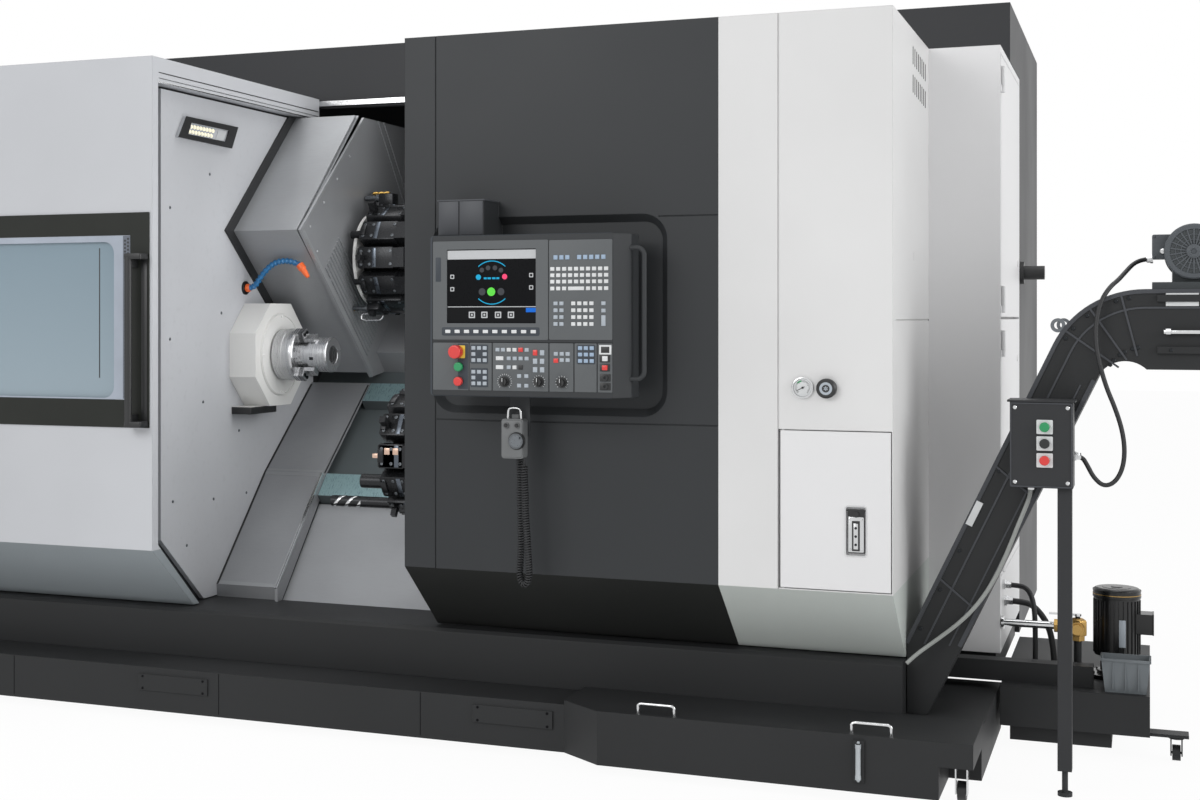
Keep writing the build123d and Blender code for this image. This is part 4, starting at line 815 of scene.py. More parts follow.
form = bmesh.new()
turned(form, (-2594, SPINDLE_Y, SPINDLE_Z), "x", [(0, 158), (3, 160), (3, 166), (0, 168)], 48)
for y, z in ((SPINDLE_Y, 1486), (SPINDLE_Y, 1174), (678, SPINDLE_Z), (990, SPINDLE_Z)):
    turned(form, (-2594, y, z), "x", [(0, 0), (0, 7), (4, 6), (6, 3), (6, 0)], 12)
settle(form, "headstock_bolts", IVORY)
make("headstock_foot", BLACK, "machine",
     (slab, WALL_X + 1, -2629, 639, 851, 1090.5, 1119.5, 1.5))

form = bmesh.new()
HOSE = [(-2714, 1604), (-2700, 1604), (-2686, 1607), (-2672, 1614), (-2661, 1627), (-2651, 1641),
        (-2640, 1655), (-2629, 1668), (-2615, 1681), (-2601, 1693), (-2585, 1702), (-2568, 1709),
        (-2550, 1712), (-2532, 1713), (-2514, 1712), (-2497, 1708), (-2480, 1702), (-2464, 1694)]
for (x0, z0), (x1, z1) in zip(HOSE, HOSE[1:]):
    run = math.hypot(x1 - x0, z1 - z0)
    profile = [(-3, 0), (-3, 8), (run * 0.2, 8), (run * 0.3, 12.4), (run * 0.6, 12.8), (run * 0.75, 9.5),
               (run + 1, 9), (run + 1, 0)]
    turned(form, (x0, 749, z0), (x1 - x0, 0, z1 - z0), profile, 18)
settle(form, "hose_joints", HOSE_BLUE, "machine", ("coolant_hose",))
make("hose_ends", ORANGE, "machine",
     (turned, (-2466, 749, 1697), (0.6, 0, -0.8),
      [(0, 9), (0, 16.5), (22, 16.5), (26, 13), (46, 11), (64, 7.5), (64, 4)], 20),
     (turned, (-2714, 749, 1604), "x", [(0, 8), (0, 17), (14, 17), (20, 13), (20, 8)], 18))
make("hose_plate", BLACKED, "machine",
     (turned, (WALL_X, 749, 1604), "x", [(0, 10), (0, 28), (6, 28), (9, 25), (9, 10)], 24))

# Chuck and workpiece
# Dark discs and strips on the chuck's face and nose: painted shade inside its counterbores, holes and slots
form = bmesh.new()
for number in range(3):
    for offset in (46, 74):
        angle = math.radians(120 * number + offset)
        y, z = SPINDLE_Y + 84 * math.cos(angle), SPINDLE_Z + 84 * math.sin(angle)
        turned(form, (-2494, y, z), "x", [(0, 0), (0, 8.5), (1.6, 8.5), (1.6, 5.5), (0.8, 5.5), (0.8, 0)],
               16)
        y, z = SPINDLE_Y + 60 * math.cos(angle), SPINDLE_Z + 60 * math.sin(angle)
        turned(form, (-2494, y, z), "x", disc(4.5, 0, 1.4), 12)
for number in range(6):
    verts = slab(form, -2432, -2414, SPINDLE_Y + 68, SPINDLE_Y + 70.6, 1324, 1336, 0.5)
    swing(form, verts, (-2420, SPINDLE_Y, SPINDLE_Z), "X", math.radians(60 * number + 12))
settle(form, "chuck_hole_shadows", BLACKED, "spindle")
make("chuck_rings", TURNED, "spindle",
     (turned, (-2493, SPINDLE_Y, SPINDLE_Z), "x", [(-60, 105), (-60, 106), (-52, 106.6), (-50, 105)], 48),
     (turned, (-2493, SPINDLE_Y, SPINDLE_Z), "x", [(-22, 105), (-22, 106.2), (-6, 106.2), (-4, 105)], 48),
     (turned, (-2358, SPINDLE_Y, SPINDLE_Z), "x",
      [(-12, 69), (-12, 72), (-2, 72), (1.2, 68), (1.2, 40), (-3, 36.5), (-6, 36.5)], 48))
for number in range(3):
    form = bmesh.new()
    for offset in (-11, 11):
        turned(form, (-2458, SPINDLE_Y + 100, SPINDLE_Z + offset), "x",
               [(-1, 0), (-1, 7), (5, 7), (5, 4), (2, 4), (2, 0)], 14)
    for step in range(4):
        slab(form, -2479 + step * 4.5, -2477 + step * 4.5, SPINDLE_Y + 70, SPINDLE_Y + 112,
             SPINDLE_Z - 21.8, SPINDLE_Z + 21.8)
    swing(form, form.verts[:], (-2458, SPINDLE_Y, SPINDLE_Z), "X", math.radians(120 * number))
    settle(form, f"jaw_fittings_{number + 1}", BLACKED, f"jaw_{number + 1}")

# Saddle plate edges, ground ways and rail edge
form = bmesh.new()
outline_form(form, [(-2409.8, 644, 1833), (-2409.8, 1228, 2345), (-2409.8, 1228, 2329),
                    (-2409.8, 664, 1834)], (2.5, 0, 0))
outline_form(form, [(-2409.8, 644, 1833), (-2409.8, 668, 1834), (-2409.8, 1300, 1256),
                    (-2409.8, 1300, 1223)], (9, 0, 0))
for y, z in ((700, 1850), (820, 1955), (940, 2060), (1060, 2165), (760, 1752), (880, 1640)):
    turned(form, (-2410, y + 34, z), "x", [(0, 0), (0, 6), (2, 6), (4, 3), (4, 0)], 10)
settle(form, "saddle_edges", EDGE_STEEL_AND_FOLD_HIGHLIGHT, "upper_carriage")
make("saddle_stiffeners", HOOD_STEEL, "upper_carriage",
     (outline_form, [(-2410, 1390, 2345), (-2410, 1750, 1900), (-2410, 1750, 1870), (-2410, 1370, 2345)],
      (4, 0, 0)),
     (outline_form, [(-2410, 1440, 2345), (-2410, 1750, 1962), (-2410, 1750, 1946), (-2410, 1428, 2345)],
      (4, 0, 0)))

form = bmesh.new()
for (y0, z0), (y1, z1) in (((1340, 1194), (914, 836)), ((914, 836), (523, 419))):
    run = math.hypot(y1 - y0, z1 - z0)
    share = 113 / run
    lift = (-(z0 - z1) / run * 0.18, (y0 - y1) / run * 0.18)
    a = (y0 + lift[0], z0 + lift[1])
    b = (y0 + (y1 - y0) * share + lift[0], z0 + (z1 - z0) * share + lift[1])
    outline_form(form, [(-2428, a[0], a[1]), (-2428, b[0], b[1]), (-2428, b[0] - lift[0], b[1] - lift[1]),
                        (-2428, a[0] - lift[0], a[1] - lift[1])], (1866, 0, 0))
settle(form, "way_faces", GROUND)
make("way_rail_edges", BRIGHT, "machine",
     (outline_form, [(-2442, 886, 838), (-2442, 495, 421), (-2442, 491, 424), (-2442, 883, 842)],
      (5, 0, 0)),
     (outline_form, [(-2435, 886, 838), (-2435, 495, 421), (-2435, 491, 424), (-2435, 883, 842)],
      (5, 0, 0)))

# Tool discs: guard plate, holder screws, wedges, inserts and coolant pipe. The upper disc's axis:
UPPER_Y, UPPER_Z = 1235.63, 1731.64


def around_disc(form, verts, x, y, z, station):
    """Turn a station's fittings about the tool disc's axis."""
    swing(form, verts, (x, y, z), "X", math.radians(30 * station))


def disc_fittings(label, body, face, y, z, reach, stations):
    """Holder blocks, wedges and screws at the twelve stations, with inserts at some."""
    screws, wedges, blocks = bmesh.new(), bmesh.new(), bmesh.new()
    for station in range(12):
        before = set(screws.verts)
        for x in (face - 14, face + 24, face + reach):
            for side in (-27, 27):
                turned(screws, (x, y + 230.5, z + side), "y",
                       [(0, 6.5), (2.5, 6.5), (3.2, 5.5), (3.2, 3.5), (1, 3.5), (1, 0)], 10)
        around_disc(screws, [v for v in screws.verts if v not in before], face, y, z, station)
        before = set(blocks.verts)
        slab(blocks, face - 29, face + reach + 12, y + 168, y + 231, z - 45, z + 45, 5.0)
        slab(blocks, face - 29.5, face - 6, y + 204, y + 237.5, z - 24, z + 24, 3.0)
        around_disc(blocks, [v for v in blocks.verts if v not in before], face, y, z, station)
        before = set(wedges.verts)
        slab(wedges, face + 36, face + 54, y + 226, y + 233, z - 40, z + 40, 1.5)
        slab(wedges, face - 31, face - 24, y + 178, y + 200, z - 36, z - 12, 1.2)
        if station in stations:
            slab(wedges, face - 32, face - 28, y + 178, y + 200, z + 12, z + 36, 1.0)
        around_disc(wedges, [v for v in wedges.verts if v not in before], face, y, z, station)
    settle(blocks, f"{label}_blocks", TOOL_BLACK, body)
    settle(screws, f"{label}_screws", SCREW_STEEL, body)
    settle(wedges, f"{label}_wedges", WEDGE_STEEL, body)


disc_fittings("upper_disc", "upper_tool_disc", -2300, UPPER_Y, UPPER_Z, 120, (1, 4, 7, 10))
disc_fittings("lower_disc", "lower_tool_disc", -1850, 480, 976, 60, (2, 5, 8))
make("disc_guard", IVORY, "upper_tool_disc",
     (turned, (-2371, UPPER_Y, UPPER_Z), "x",
      [(0, 122), (0, 196), (2, 198.5), (13, 198.5), (15, 196), (15, 122)], 60))

make("drill_collars", BRIGHT, "lower_tool_disc",
     (turned, (-1880, 480, 778), "x", [(-10, 21.5), (-10, 27), (-34, 27), (-40, 24), (-40, 21.5)], 24),
     (turned, (-1880, 480, 976 + 198), "x", [(-4, 15), (-4, 20), (-22, 20), (-24, 15)], 20))

# Fluted drill in the lower disc


def twisted(form, foot, length, radius, turns, cuts=28, sides=16):
    """A two-lipped drill body along the machine's length, towards the left."""
    rings = []
    for cut in range(cuts + 1):
        share = cut / cuts
        ring = []
        for side in range(sides):
            angle = 2 * math.pi * side / sides
            reach = radius * (0.56 + 0.44 * abs(math.cos(angle)))
            reach *= 1 if share < 0.94 else 1 - (share - 0.94) * 12
            turn = angle + 2 * math.pi * turns * share
            ring.append(form.verts.new(spot(foot[0] - length * share, foot[1] + reach * math.cos(turn),
                                            foot[2] + reach * math.sin(turn))))
        rings.append(ring)
    for near, far in zip(rings, rings[1:]):
        for side in range(sides):
            form.faces.new((near[side], near[(side + 1) % sides], far[(side + 1) % sides], far[side]))
    form.faces.new(rings[0][::-1])
    form.faces.new(rings[-1])


make("long_drill_flutes", BRIGHT, "lower_tool_disc",
     (twisted, (-2052, 480, 778), 126, 22.5, 1.25))

# Column: vents, gauge, latch, locks. The gauge's middle:
GAUGE_X, GAUGE_Z = -279, 1260
# A near-black block in each vent slot is painted shadow, standing in for the shade inside the slot
form = bmesh.new()
for row in range(2):
    for column in range(8):
        y = 470 + 47 * column
        z = 2395 - column * 2 - row * 95
        slab(form, -5.9, 0.2, y + 2, y + 16, z - 60, z - 2)
settle(form, "vent_painted_shadows", VENT_SHADOW_AND_SEAM_BLACK)
make("gauge_bezel", BRIGHT, "machine",
     (turned, (GAUGE_X, -3, GAUGE_Z), "-y",
      [(-2, 33.8), (0, 34.6), (4.4, 34.6), (6.2, 32), (6.2, 29.5), (2.5, 27.6), (-2, 27.6)], 48))
make("gauge_dial", KEY_WHITE, "machine",
     (turned, (GAUGE_X, -2.9, GAUGE_Z), "-y", disc(27.8, 0, 1.2), 40))
form = bmesh.new()
for tick in range(28):
    angle = math.radians(-45 + tick * 10)
    verts = slab(form, GAUGE_X - 0.5, GAUGE_X + 0.5, -4.6, -4.0, GAUGE_Z + (19 if tick % 5 else 16.5),
                 GAUGE_Z + 24)
    swing(form, verts, (GAUGE_X, -4, GAUGE_Z), "Y", angle - math.radians(90))
verts = slab(form, GAUGE_X - 0.9, GAUGE_X + 0.9, -5.4, -4.7, GAUGE_Z - 7, GAUGE_Z + 21)
swing(form, verts, (GAUGE_X, -5, GAUGE_Z), "Y", math.radians(-118))
turned(form, (GAUGE_X, -4, GAUGE_Z), "-y", [(0, 3.4), (2, 3.4), (2, 0)], 16)
settle(form, "gauge_marks", BLACK)
make("gauge_field", GREEN, "machine",
     (arc_band, GAUGE_X, GAUGE_Z, 19.5, 23.5, -4.9, -4.2, 100, 40, 8))
form = bmesh.new()
turned(form, (-202.5, -26, 1259), "-y", ring(12, 20, 0, 0.5), 32)
for blade in range(3):
    verts = slab(form, -204, -201, -26.7, -26, 1252, 1266, 0.2)
    swing(form, verts, (-202.5, -26, 1259), "Y", math.radians(60 * blade))
settle(form, "regulator_marks", KEY_DIM, "pressure_knob")

make("latch_surround", BRIGHT, "side_access_door",
     (frame_plate, (-147, -79, 734, 893), (-143.6, -82.4, 737.6, 889.4), -1.6, 0, 9, 6))
form = bmesh.new()
slab(form, -137, -89, 0.6, 2, 748, 858, 0.4, ("y", 3))
slab(form, -120, -106, -5.2, -4, 758, 838, 0.4)
for z in (756, 850):
    for x in (-131, -95):
        turned(form, (x, 0.6, z), "-y", [(0, 3.4), (1.6, 2.6), (1.6, 0)], 10)
settle(form, "latch_plate", BRIGHT, "side_access_latch")
form = bmesh.new()
for z in (772, 798, 824):
    turned(form, (-113, -5.2, z), "-y", [(0, 4.2), (1.2, 4.2), (1.2, 0)], 14)
settle(form, "latch_screws", BLACKED, "side_access_latch")

form = bmesh.new()
for y, z in ((499, 1689), (499, 1122)):
    turned(form, (0, y, z), "x", [(-2, 0), (-2, 15), (0.6, 15), (0.6, 11), (-1, 9), (-1, 0)], 24)
for z in (1698, 1320):
    turned(form, (247, 1301 + 430, z), "x", head(14, 11, -1, 0.8, 3), 20)
settle(form, "cover_plugs", COLUMN_COAT)

# Conveyor: folded edges, seams, plates, rails and bolts
INCLINE = math.radians(64.8)
RUN = math.cos(INCLINE) / math.sin(INCLINE)
FOOT_TOP = 138.0 - 725.0 * RUN
FOOT_LOW = 167.0 - 399.0 * RUN
KNEE = (FOOT_TOP + 1570 * RUN + 300 * math.tan(INCLINE / 2), 1270)


def on_knee(turn, out=0.0):
    """A place on the conveyor's upper knee, turned back from straight up, and a distance outside it."""
    angle = math.radians(turn)
    return (KNEE[0] - (300 + out) * math.sin(angle), KNEE[1] + (300 + out) * math.cos(angle))


def band(form, route, width, y0, y1):
    """A flat strip that follows a route of x and z stations in an upright plane."""
    sides = []
    for index, (x, z) in enumerate(route):
        (xa, za), (xb, zb) = route[max(index - 1, 0)], route[min(index + 1, len(route) - 1)]
        run = math.hypot(xb - xa, zb - za)
        off = (-(zb - za) / run * width / 2, (xb - xa) / run * width / 2)
        sides.append(((x + off[0], z + off[1]), (x - off[0], z - off[1])))
    rows = [[form.verts.new(spot(a, y, b)) for y in (y0, y1) for a, b in pair] for pair in sides]
    for near, far in zip(rows, rows[1:]):
        for a, b in ((0, 1), (1, 3), (3, 2), (2, 0)):
            form.faces.new((near[a], near[b], far[b], far[a]))
    form.faces.new([rows[0][i] for i in (0, 1, 3, 2)])
    form.faces.new([rows[-1][i] for i in (0, 2, 3, 1)])


def below(out):
    """The upper edge's route at a distance inside it, from the foot over the knee to the head."""
    slope = [(FOOT_TOP + z * RUN + out / math.sin(INCLINE), z) for z in (420, 700, 1000)]
    return slope + [on_knee(64.8 - 5.4 * step, -out) for step in range(13)]


form = bmesh.new()
band(form, below(7) + [(1296, 1563)], 13, 296.5, 300)
band(form, below(58) + [(760, 1512), (868, 1512), (1280, 1512)], 6, 297, 300)
band(form, [(FOOT_LOW + z * RUN - 8, z) for z in (420, 700, 1000, 1285)], 13, 296.5, 300)
band(form, [(FOOT_LOW + z * RUN - 40, z) for z in (420, 700, 1000, 1270)], 5, 297.5, 300)
for turn in (14, 34, 54):
    outer, inner = on_knee(turn, -2), on_knee(turn, -205)
    band(form, [outer, inner], 6, 296, 300)
band(form, [(FOOT_TOP + 1010 * RUN + 4, 1010), (FOOT_LOW + 905 * RUN - 4, 905)], 6, 296, 300)
band(form, [(FOOT_TOP + 640 * RUN + 4, 640), (FOOT_LOW + 535 * RUN - 4, 535)], 6, 296, 300)
settle(form, "conveyor_folds", CONVEYOR_EDGE)
form = bmesh.new()
for turn in (10, 18, 30, 38, 50, 58):
    for out in (-24, -180):
        x, z = on_knee(turn, out)
        turned(form, (x, 300, z), "-y", head(7, 5.5, -1, 3, 4), 6)
for z in (470, 600, 730, 860, 990, 1120):
    turned(form, (FOOT_TOP + z * RUN + 28, 300, z), "-y", head(6.5, 5, -1, 3, 4), 6)
for x in (800, 950, 1100, 1250):
    turned(form, (x, 300, 1545), "-y", head(6.5, 5, -1, 3, 4), 6)
    turned(form, (x, 288, 1381), "-y", head(6, 4.5, -1, 2, 3), 6)
settle(form, "conveyor_bolts", BLACKED)
form = bmesh.new()
slab(form, 779, 1111, 279.3, 286, 1431.4, 1442.6, 1.5)
for x in (792, 958, 1098):
    turned(form, (x, 283, 1437), "x", ring(5, 10, -7, 7), 6)
settle(form, "conveyor_rod", BRIGHT)
form = bmesh.new()
slab(form, 785, 879, 295.6, 300, 1517, 1557, 0.8)
verts = slab(form, 178, 262, 295.8, 300, 833, 855, 0.6)
swing(form, verts, (212, 298, 844), "Y", -math.radians(64.8))
settle(form, "blank_plates", KEY_WHITE)
form = bmesh.new()
for y in (319, 701):
    x, z = on_knee(54, 18)
    turned(form, (x, y - 5.6, z), "y", ring(12.5, 22.6, 0, 11.2), 28)
settle(form, "lifting_rings", SCREW_STEEL)

# Conveyor motor: fan guard about the motor's axis, terminal box lid and gland
FAN_X, FAN_Z = 866, 1687
form = bmesh.new()
for rib in range(22):
    verts = slab(form, FAN_X - 2.2, FAN_X + 2.2, 336.5, 341, FAN_Z + 20, FAN_Z + 70, 0.6)
    swing(form, verts, (FAN_X, 338, FAN_Z), "Y", 2 * math.pi * rib / 22)
turned(form, (FAN_X, 341, FAN_Z), "-y", [(-20, 83), (-20, 86), (3, 86), (6, 82), (6, 70), (2, 68), (0, 68)],
       48)
turned(form, (FAN_X, 341, FAN_Z), "-y", [(0, 22), (7, 22), (9, 18), (9, 9), (5, 8), (5, 0)], 28)
for inside in (36, 52):
    turned(form, (FAN_X, 341, FAN_Z), "-y",
           [(0, inside), (4, inside), (4, inside + 2.5), (0, inside + 2.5)], 40)
settle(form, "motor_fan_guard", MOTOR_GREY)
form = bmesh.new()
slab(form, 745.5, 808, 414, 420, 1665, 1744, 2.0, ("y", 6))
for x in (752, 801):
    for z in (1672, 1737):
        turned(form, (x, 414, z), "-y", head(3.8, 2.8, 0, 2, 2.6), 10)
settle(form, "terminal_lid", MOTOR_GREY)
make("cable_glands", BRIGHT, "machine",
     (turned, (748, 460, 1668), "-x", [(-1, 7.3), (-1, 14), (7, 14), (7, 11.5), (16, 11.5), (19, 9.5),
                                       (19, 7.3)], 6),
     (turned, (777, 414, 1690), "-y", head(9, 7, 0, 5, 7), 16),
     (turned, (520, 238, 1050), "x", [(-1, 7.3), (-1, 15), (7, 15), (7, 12), (18, 12), (21, 9.5),
                                      (21, 7.3)], 6),
     (turned, (390, 262, 955), "-z", [(-1, 6.9), (-1, 13), (7, 13), (7, 11), (14, 11), (17, 9), (17, 6.9)],
      6))

# Control box: label plates, lid groove and screws
form = bmesh.new()
for z in (1144, 1093, 1041):
    frame_plate(form, (414, 462, z - 22, z + 22), (426.5, 449.5, z - 11.5, z + 11.5), 146.5, 147.2, 3, 11)
settle(form, "button_plates", KEY_WHITE)
make("box_lid_edge", CONVEYOR_EDGE, "machine",
     (frame_plate, (336, 519, 957, 1218), (340, 515, 961, 1214), 148, 150.2, 6, 5))
form = bmesh.new()
for x in (350, 505):
    for z in (972, 1203):
        turned(form, (x, 150, z), "-y", [(-1, 6), (1.4, 6), (2.4, 4.6), (2.4, 3), (1.2, 3), (1.2, 0)], 12)
turned(form, (495, 200, 79), "z", ring(9.4, 17, 0, 12), 6)
settle(form, "box_screws", BRIGHT)

# Chip tank: bright lifting handles, level gauge, seams
for number, x in enumerate((-736, -54)):
    bent_rod(f"tank_handle_{number + 1}",
             [(x - 60, -80, 205), (x - 60, -80, 221), (x - 60, -80, 228), (x - 57, -80, 232),
              (x - 50, -80, 235), (x - 44, -80, 235), (x, -80, 235), (x + 44, -80, 235), (x + 50, -80, 235),
              (x + 57, -80, 232), (x + 60, -80, 228), (x + 60, -80, 221),
              (x + 60, -80, 205)], 5.7, BRIGHT, "machine")
form = bmesh.new()
turned(form, (-87, -124, 72), "z", [(0, 7.2), (0, 9), (12, 9), (14, 7.9), (94, 7.9), (96, 9), (108, 9),
                                    (108, 7.2)], 20)
for z in (68, 184):
    turned(form, (-87, -118, z), "-y", head(4.5, 3, 0, 3, 4), 12)
settle(form, "level_gauge_tube", GAUGE_PLASTIC)
form = bmesh.new()
for x, y in ((-2400, -0.2), (-1600, -0.2), (-3300, -0.2)):
    slab(form, x - 1, x + 1, y - 0.8, y + 0.3, 40, 188)
for x in (WALL_X, -2464, -1385, -1134):
    for z in (112, 156):
        turned(form, (x, -6, z), "-y", head(4.5, 3.2, -0.5, 1.6, 2.4), 10)
settle(form, "tank_seams", VENT_SHADOW_AND_SEAM_BLACK)

# Coolant tank: rings, fins and plate about the pump's axis, brass valve, pipes, bin rim
PUMP_X, PUMP_Y = 632, 1000
form = bmesh.new()
for z in (503, 523):
    turned(form, (PUMP_X, PUMP_Y, z), "z", ring(78, 80.2, 0, 5), 48)
turned(form, (PUMP_X, PUMP_Y, 534), "z", [(-1, 0), (-1, 50), (2, 48), (2, 20), (4, 18), (4, 0)], 40)
for rib in range(30):
    verts = slab(form, PUMP_X + 74, PUMP_X + 78.5, 998.7, 1001.3, 306, 494, 0.5)
    swing(form, verts, (PUMP_X, PUMP_Y, 400), "Z", 2 * math.pi * rib / 30)
slab(form, 748, 753, 958, 1042, 378, 452, 1.5, ("x", 5))
turned(form, (PUMP_X, PUMP_Y, 234), "z", [(0, 56), (0, 66), (10, 66), (12, 60), (12, 56)], 32)
for bolt in range(6):
    angle = math.radians(60 * bolt + 20)
    turned(form, (PUMP_X + 84 * math.cos(angle), PUMP_Y + 84 * math.sin(angle), 234), "z",
           head(7, 5.5, 0, 6, 7), 6)
settle(form, "pump_fittings", GLOSS_BLACK)
make("pump_plate", KEY_DIM, "machine",
     (slab, 640, 662, 918.5, 921, 338, 432, 0.6))
make("pump_bead", BRASS, "machine",
     (turned, (632, 1000, 512), "z", ring(79.4, 80.4, 0, 2), 48))
make("brass_valve", BRASS, "machine",
     (turned, (505, 930, 352), "z", [(0, 13), (0, 24), (16, 24), (18, 30), (24, 31), (66, 31), (72, 28),
                                     (76, 20), (78, 14), (78, 8.2)], 6),
     (turned, (505, 930, 398), "-x", [(20, 15), (20, 27), (34, 27), (34, 20), (60, 20), (60, 25), (78, 25),
                                      (78, 12)], 6),
     (turned, (505, 930, 398), "-y", [(16, 0), (16, 23), (42, 23), (42, 17), (56, 17), (56, 0)], 12))
make("steel_pipe", BRIGHT, "machine",
     (turned, (250, 930, 398), "x", [(0, 11), (0, 24), (8, 24), (8, 13.2), (176, 13.2), (176, 11)], 24))
bent_rod("return_pipe", [(249, 1010, 520), (290, 1010, 520), (330, 1000, 516), (352, 985, 480),
                         (360, 975, 420), (362, 965, 330), (362, 960, 222)], 9, RUBBER, "machine")
bent_rod("drain_pipe", [(249, 1090, 450), (300, 1090, 450), (350, 1085, 440), (400, 1060, 380),
                        (420, 1040, 300), (424, 1030, 222)], 11, RUBBER, "machine")
form = bmesh.new()
for x, y, r in ((362, 960, 9), (424, 1030, 11)):
    turned(form, (x, y, 220), "z", [(0, r + 0.2), (0, r + 10), (10, r + 10), (10, r + 5), (30, r + 5),
                                    (30, r + 0.2)], 6)
for y, z, r in ((1010, 520, 9), (1090, 450, 11)):
    turned(form, (247, y, z), "x", [(0, r + 0.2), (0, r + 10), (10, r + 10), (10, r + 5), (30, r + 5),
                                    (30, r + 0.2)], 6)
settle(form, "pipe_unions", BRIGHT)
form = bmesh.new()
RIM_SIDES = [(586, 742, 714, 720), (586, 742, 820, 826), (584, 590, 714, 826), (738, 744, 714, 826)]
for x0, x1, y0, y1 in RIM_SIDES:
    slab(form, x0, x1, y0, y1, 326, 335, 1.5)
for x in (624, 664, 704):
    slab(form, x - 2, x + 2, 718, 729, 232, 324, 0.8)
settle(form, "bin_rim", BIN)

# Way covers: hems, folds and lips drawn as lighter strips, which are painted highlights; wall screws;
# bracket plates


def hem(form, route, x0, x1, rise):
    """A thin strip across the machine at each place of a side route."""
    for (ya, za), (yb, zb) in route:
        run = math.hypot(yb - ya, zb - za)
        off = (-(zb - za) / run * rise, (yb - ya) / run * rise)
        if off[1] < 0:
            off = (-off[0], -off[1])
        outline_form(form, [(x0, ya + off[0], za + off[1]), (x0, yb + off[0], zb + off[1]),
                            (x0, yb - off[0], zb - off[1]), (x0, ya - off[0], za - off[1])],
                     (x1 - x0, 0, 0))


# Thin lighter steel strips across the knee, the fold above it and the toe lip, and along the side edges:
# painted highlights where the folded sheet catches the light
make("cover_fold_highlights", EDGE_STEEL_AND_FOLD_HIGHLIGHT, "machine",
     (hem, [((914, 836), (902, 823)), ((926, 846), (917, 838)), ((534, 431), (523, 419))], -2714, -2444,
      1.2),
     (hem, [((1330, 1186), (914, 836))], -2449, -2445, 1.6),
     (hem, [((900, 821), (530, 426))], -2461, -2457, 1.6))
make("cover_seals", RUBBER, "machine",
     (hem, [((1330, 1186), (914, 836)), ((914, 836), (523, 419))], -2719.6, -2711, 1.4),
     (hem, [((1330, 1186), (914, 836))], -2440, -2434, 1.4))
form = bmesh.new()
SCREW_PLACES = [(470, 2050), (1000, 1600), (560, 1500), (420, 1150), (700, 1020), (500, 760), (200, 780),
                (180, 1900), (180, 1400), (300, 600), (760, 760), (1150, 2250)]
for y, z in SCREW_PLACES:
    turned(form, (WALL_X, y, z), "x", [(-0.5, 6), (1.5, 6), (2.4, 4.5), (2.4, 2.6), (1.2, 2.6), (1.2, 0)],
           12)
settle(form, "wall_screws", SCREW_STEEL)
make("bracket_plates", BRACKET_COAT, "machine",
     (slab, -1472, -1400, -138, -135, 1757, 1869, 1.2),
     (slab, -1396, -1313, -138, -135, 1757, 1869, 1.2),
     (slab, -1478, -1307, -137, 34, 1870, 1875, 1.2))

# Tools on the upper disc's top and foot stations, and an insert holder on the lower disc
form = bmesh.new()
slab(form, -2329, -2262, UPPER_Y + 225, UPPER_Y + 282, UPPER_Z - 30, UPPER_Z + 30, 4.0)
around_disc(form, form.verts[:], -2300, UPPER_Y, UPPER_Z, 3)
before = set(form.verts)
slab(form, -2329, -2272, UPPER_Y + 225, UPPER_Y + 262, UPPER_Z - 26, UPPER_Z + 26, 4.0)
around_disc(form, [v for v in form.verts if v not in before], -2300, UPPER_Y, UPPER_Z, 8)
settle(form, "tool_blocks", TOOL_BLACK, "upper_tool_disc")
form = bmesh.new()
turned(form, (-2330, UPPER_Y, UPPER_Z + 264), "-x",
       [(-2, 17), (20, 17), (24, 12), (72, 12), (74, 10), (74, 0)], 20)
foot_y = UPPER_Y + 244 * math.cos(math.radians(240))
foot_z = UPPER_Z + 244 * math.sin(math.radians(240))
turned(form, (-2330, foot_y, foot_z), "-x", [(-2, 14), (14, 14), (17, 9), (72, 9), (72, 0)], 20)
settle(form, "tool_bars", SCREW_STEEL, "upper_tool_disc")
make("coated_tools", GILT, "upper_tool_disc",
     (twisted, (-2300, UPPER_Y + 26, UPPER_Z + 286), 84, 8.5, 1.6),
     (turned, (-2395, foot_y, foot_z - 7), "-x", disc(5, 0, 5), 3))
bent_rod("coolant_pipe", [(-2322, foot_y, foot_z - 22), (-2346, foot_y, foot_z - 22),
                          (-2362, foot_y, foot_z - 24), (-2366, foot_y, foot_z - 38),
                          (-2360, foot_y, foot_z - 50), (-2300, foot_y, foot_z - 50),
                          (-2270, foot_y, foot_z - 48),
                          (-2262, foot_y, foot_z - 30)], 4.5, BRIGHT, "upper_tool_disc")
form = bmesh.new()
for x in (-1842, -1808):
    slab(form, x - 11, x + 11, 480 + 230, 480 + 234.5, 976 - 30, 976 - 6, 1.0)
slab(form, -1902, -1880, 480 + 206, 480 + 232, 976 - 8, 976 + 8, 1.0)
around_disc(form, form.verts[:], -1850, 480, 976, 6)
settle(form, "insert_pads", COPPER, "lower_tool_disc")

# Camera at the photograph's eye point, floor and light
view = bpy.data.cameras.new("eye")
view.sensor_width = 36.0
view.lens = 50.16
view.shift_x = 0.1
view.shift_y = -0.0683
view.clip_end = 60.0
eye = bpy.data.objects.new("eye", view)
eye.location = spot(736, -5285, 1480)
eye.rotation_euler = (math.pi / 2, 0, math.radians(21.8))
bpy.context.collection.objects.link(eye)
bpy.context.scene.camera = eye


def bare_ray(nodes, links):
    """One where a ray comes from the camera, from glass or from a mirror, and zero elsewhere."""
    path = nodes.new("ShaderNodeLightPath")
    total = path.outputs["Is Camera Ray"]
    for kind in ("Is Glossy Ray", "Is Transmission Ray"):
        add = nodes.new("ShaderNodeMath")
        add.operation = "MAXIMUM"
        links.new(total, add.inputs[0])
        links.new(path.outputs[kind], add.inputs[1])
        total = add.outputs[0]
    return total


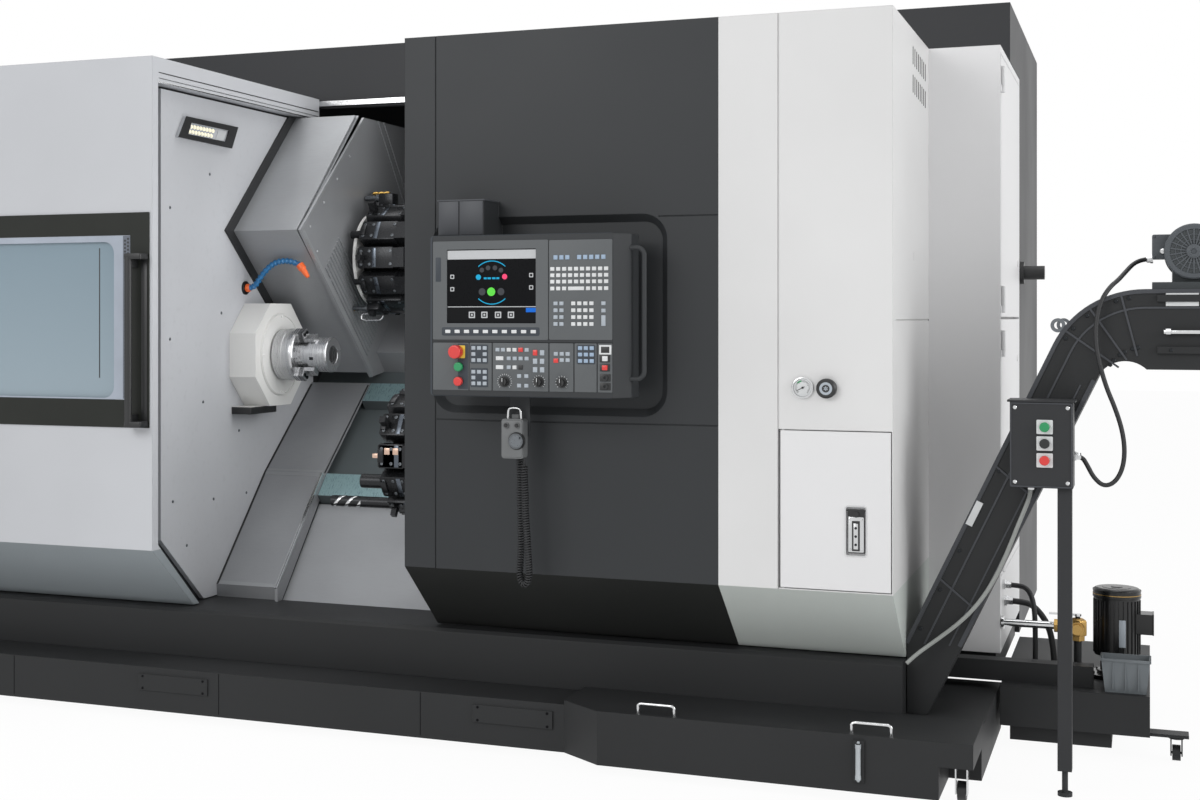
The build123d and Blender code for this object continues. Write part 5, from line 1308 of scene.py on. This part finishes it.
floor_mesh = bpy.data.meshes.new("studio_floor")
floor_form = bmesh.new()
bmesh.ops.create_grid(floor_form, x_segments=1, y_segments=1, size=30.0)
floor_form.to_mesh(floor_mesh)
floor_form.free()
floor = bpy.data.objects.new("studio_floor", floor_mesh)
bpy.context.collection.objects.link(floor)
paper, nodes, links, shader, place = new_finish("studio_paper")
fleck = noise(nodes, links, place, 2.0, 2.0)
links.new(blend_tones(nodes, links, fleck, tone(246, 246, 246), tone(250, 250, 250)),
          shader.inputs["Base Color"])
shader.inputs["Roughness"].default_value = 0.9
shader.inputs["Specular IOR Level"].default_value = 0.1
white_light = nodes.new("ShaderNodeEmission")
join = nodes.new("ShaderNodeMixShader")
share = nodes.new("ShaderNodeMath")
share.operation = "MULTIPLY"
share.inputs[1].default_value = 0.95
links.new(bare_ray(nodes, links), share.inputs[0])
links.new(share.outputs[0], join.inputs["Fac"])
links.new(shader.outputs[0], join.inputs[1])
links.new(white_light.outputs[0], join.inputs[2])
links.new(join.outputs[0], nodes["Material Output"].inputs["Surface"])
floor_mesh.materials.append(paper)

world = bpy.data.worlds.new("studio")
world.use_nodes = True
bpy.context.scene.world = world
nodes, links = world.node_tree.nodes, world.node_tree.links
sky = nodes["Background"]
sky.inputs["Color"].default_value = (1, 1, 1, 1)
level = nodes.new("ShaderNodeMapRange")
level.inputs["To Min"].default_value = 0.58
level.inputs["To Max"].default_value = 1.0
links.new(bare_ray(nodes, links), level.inputs["Value"])
links.new(level.outputs["Result"], sky.inputs["Strength"])


def soft_box(name, place, target, size, power):
    """A large soft lamp aimed at a point."""
    light = bpy.data.lights.new(name, "AREA")
    light.shape = "RECTANGLE"
    light.size, light.size_y = size
    light.energy = power
    lamp = bpy.data.objects.new(name, light)
    lamp.location = place
    lamp.rotation_euler = (Vector(target) - Vector(place)).to_track_quat("-Z", "Y").to_euler()
    bpy.context.collection.objects.link(lamp)


soft_box("front_box", (-2.2, -7.2, 4.2), (-0.3, -1.0, 1.2), (4.0, 3.0), 165)
soft_box("right_box", (7.0, -2.4, 3.2), (1.2, -0.2, 1.3), (3.0, 3.0), 140)
soft_box("chamber_box", spot(-1450, 560, 1500), spot(WALL_X, 620, 1400), (1.0, 1.6), 15)
soft_box("top_box", (0.0, 0.0, 6.5), (0.0, 0.0, 1.0), (6.0, 4.0), 150)

bpy.context.scene.view_settings.view_transform = "Standard"
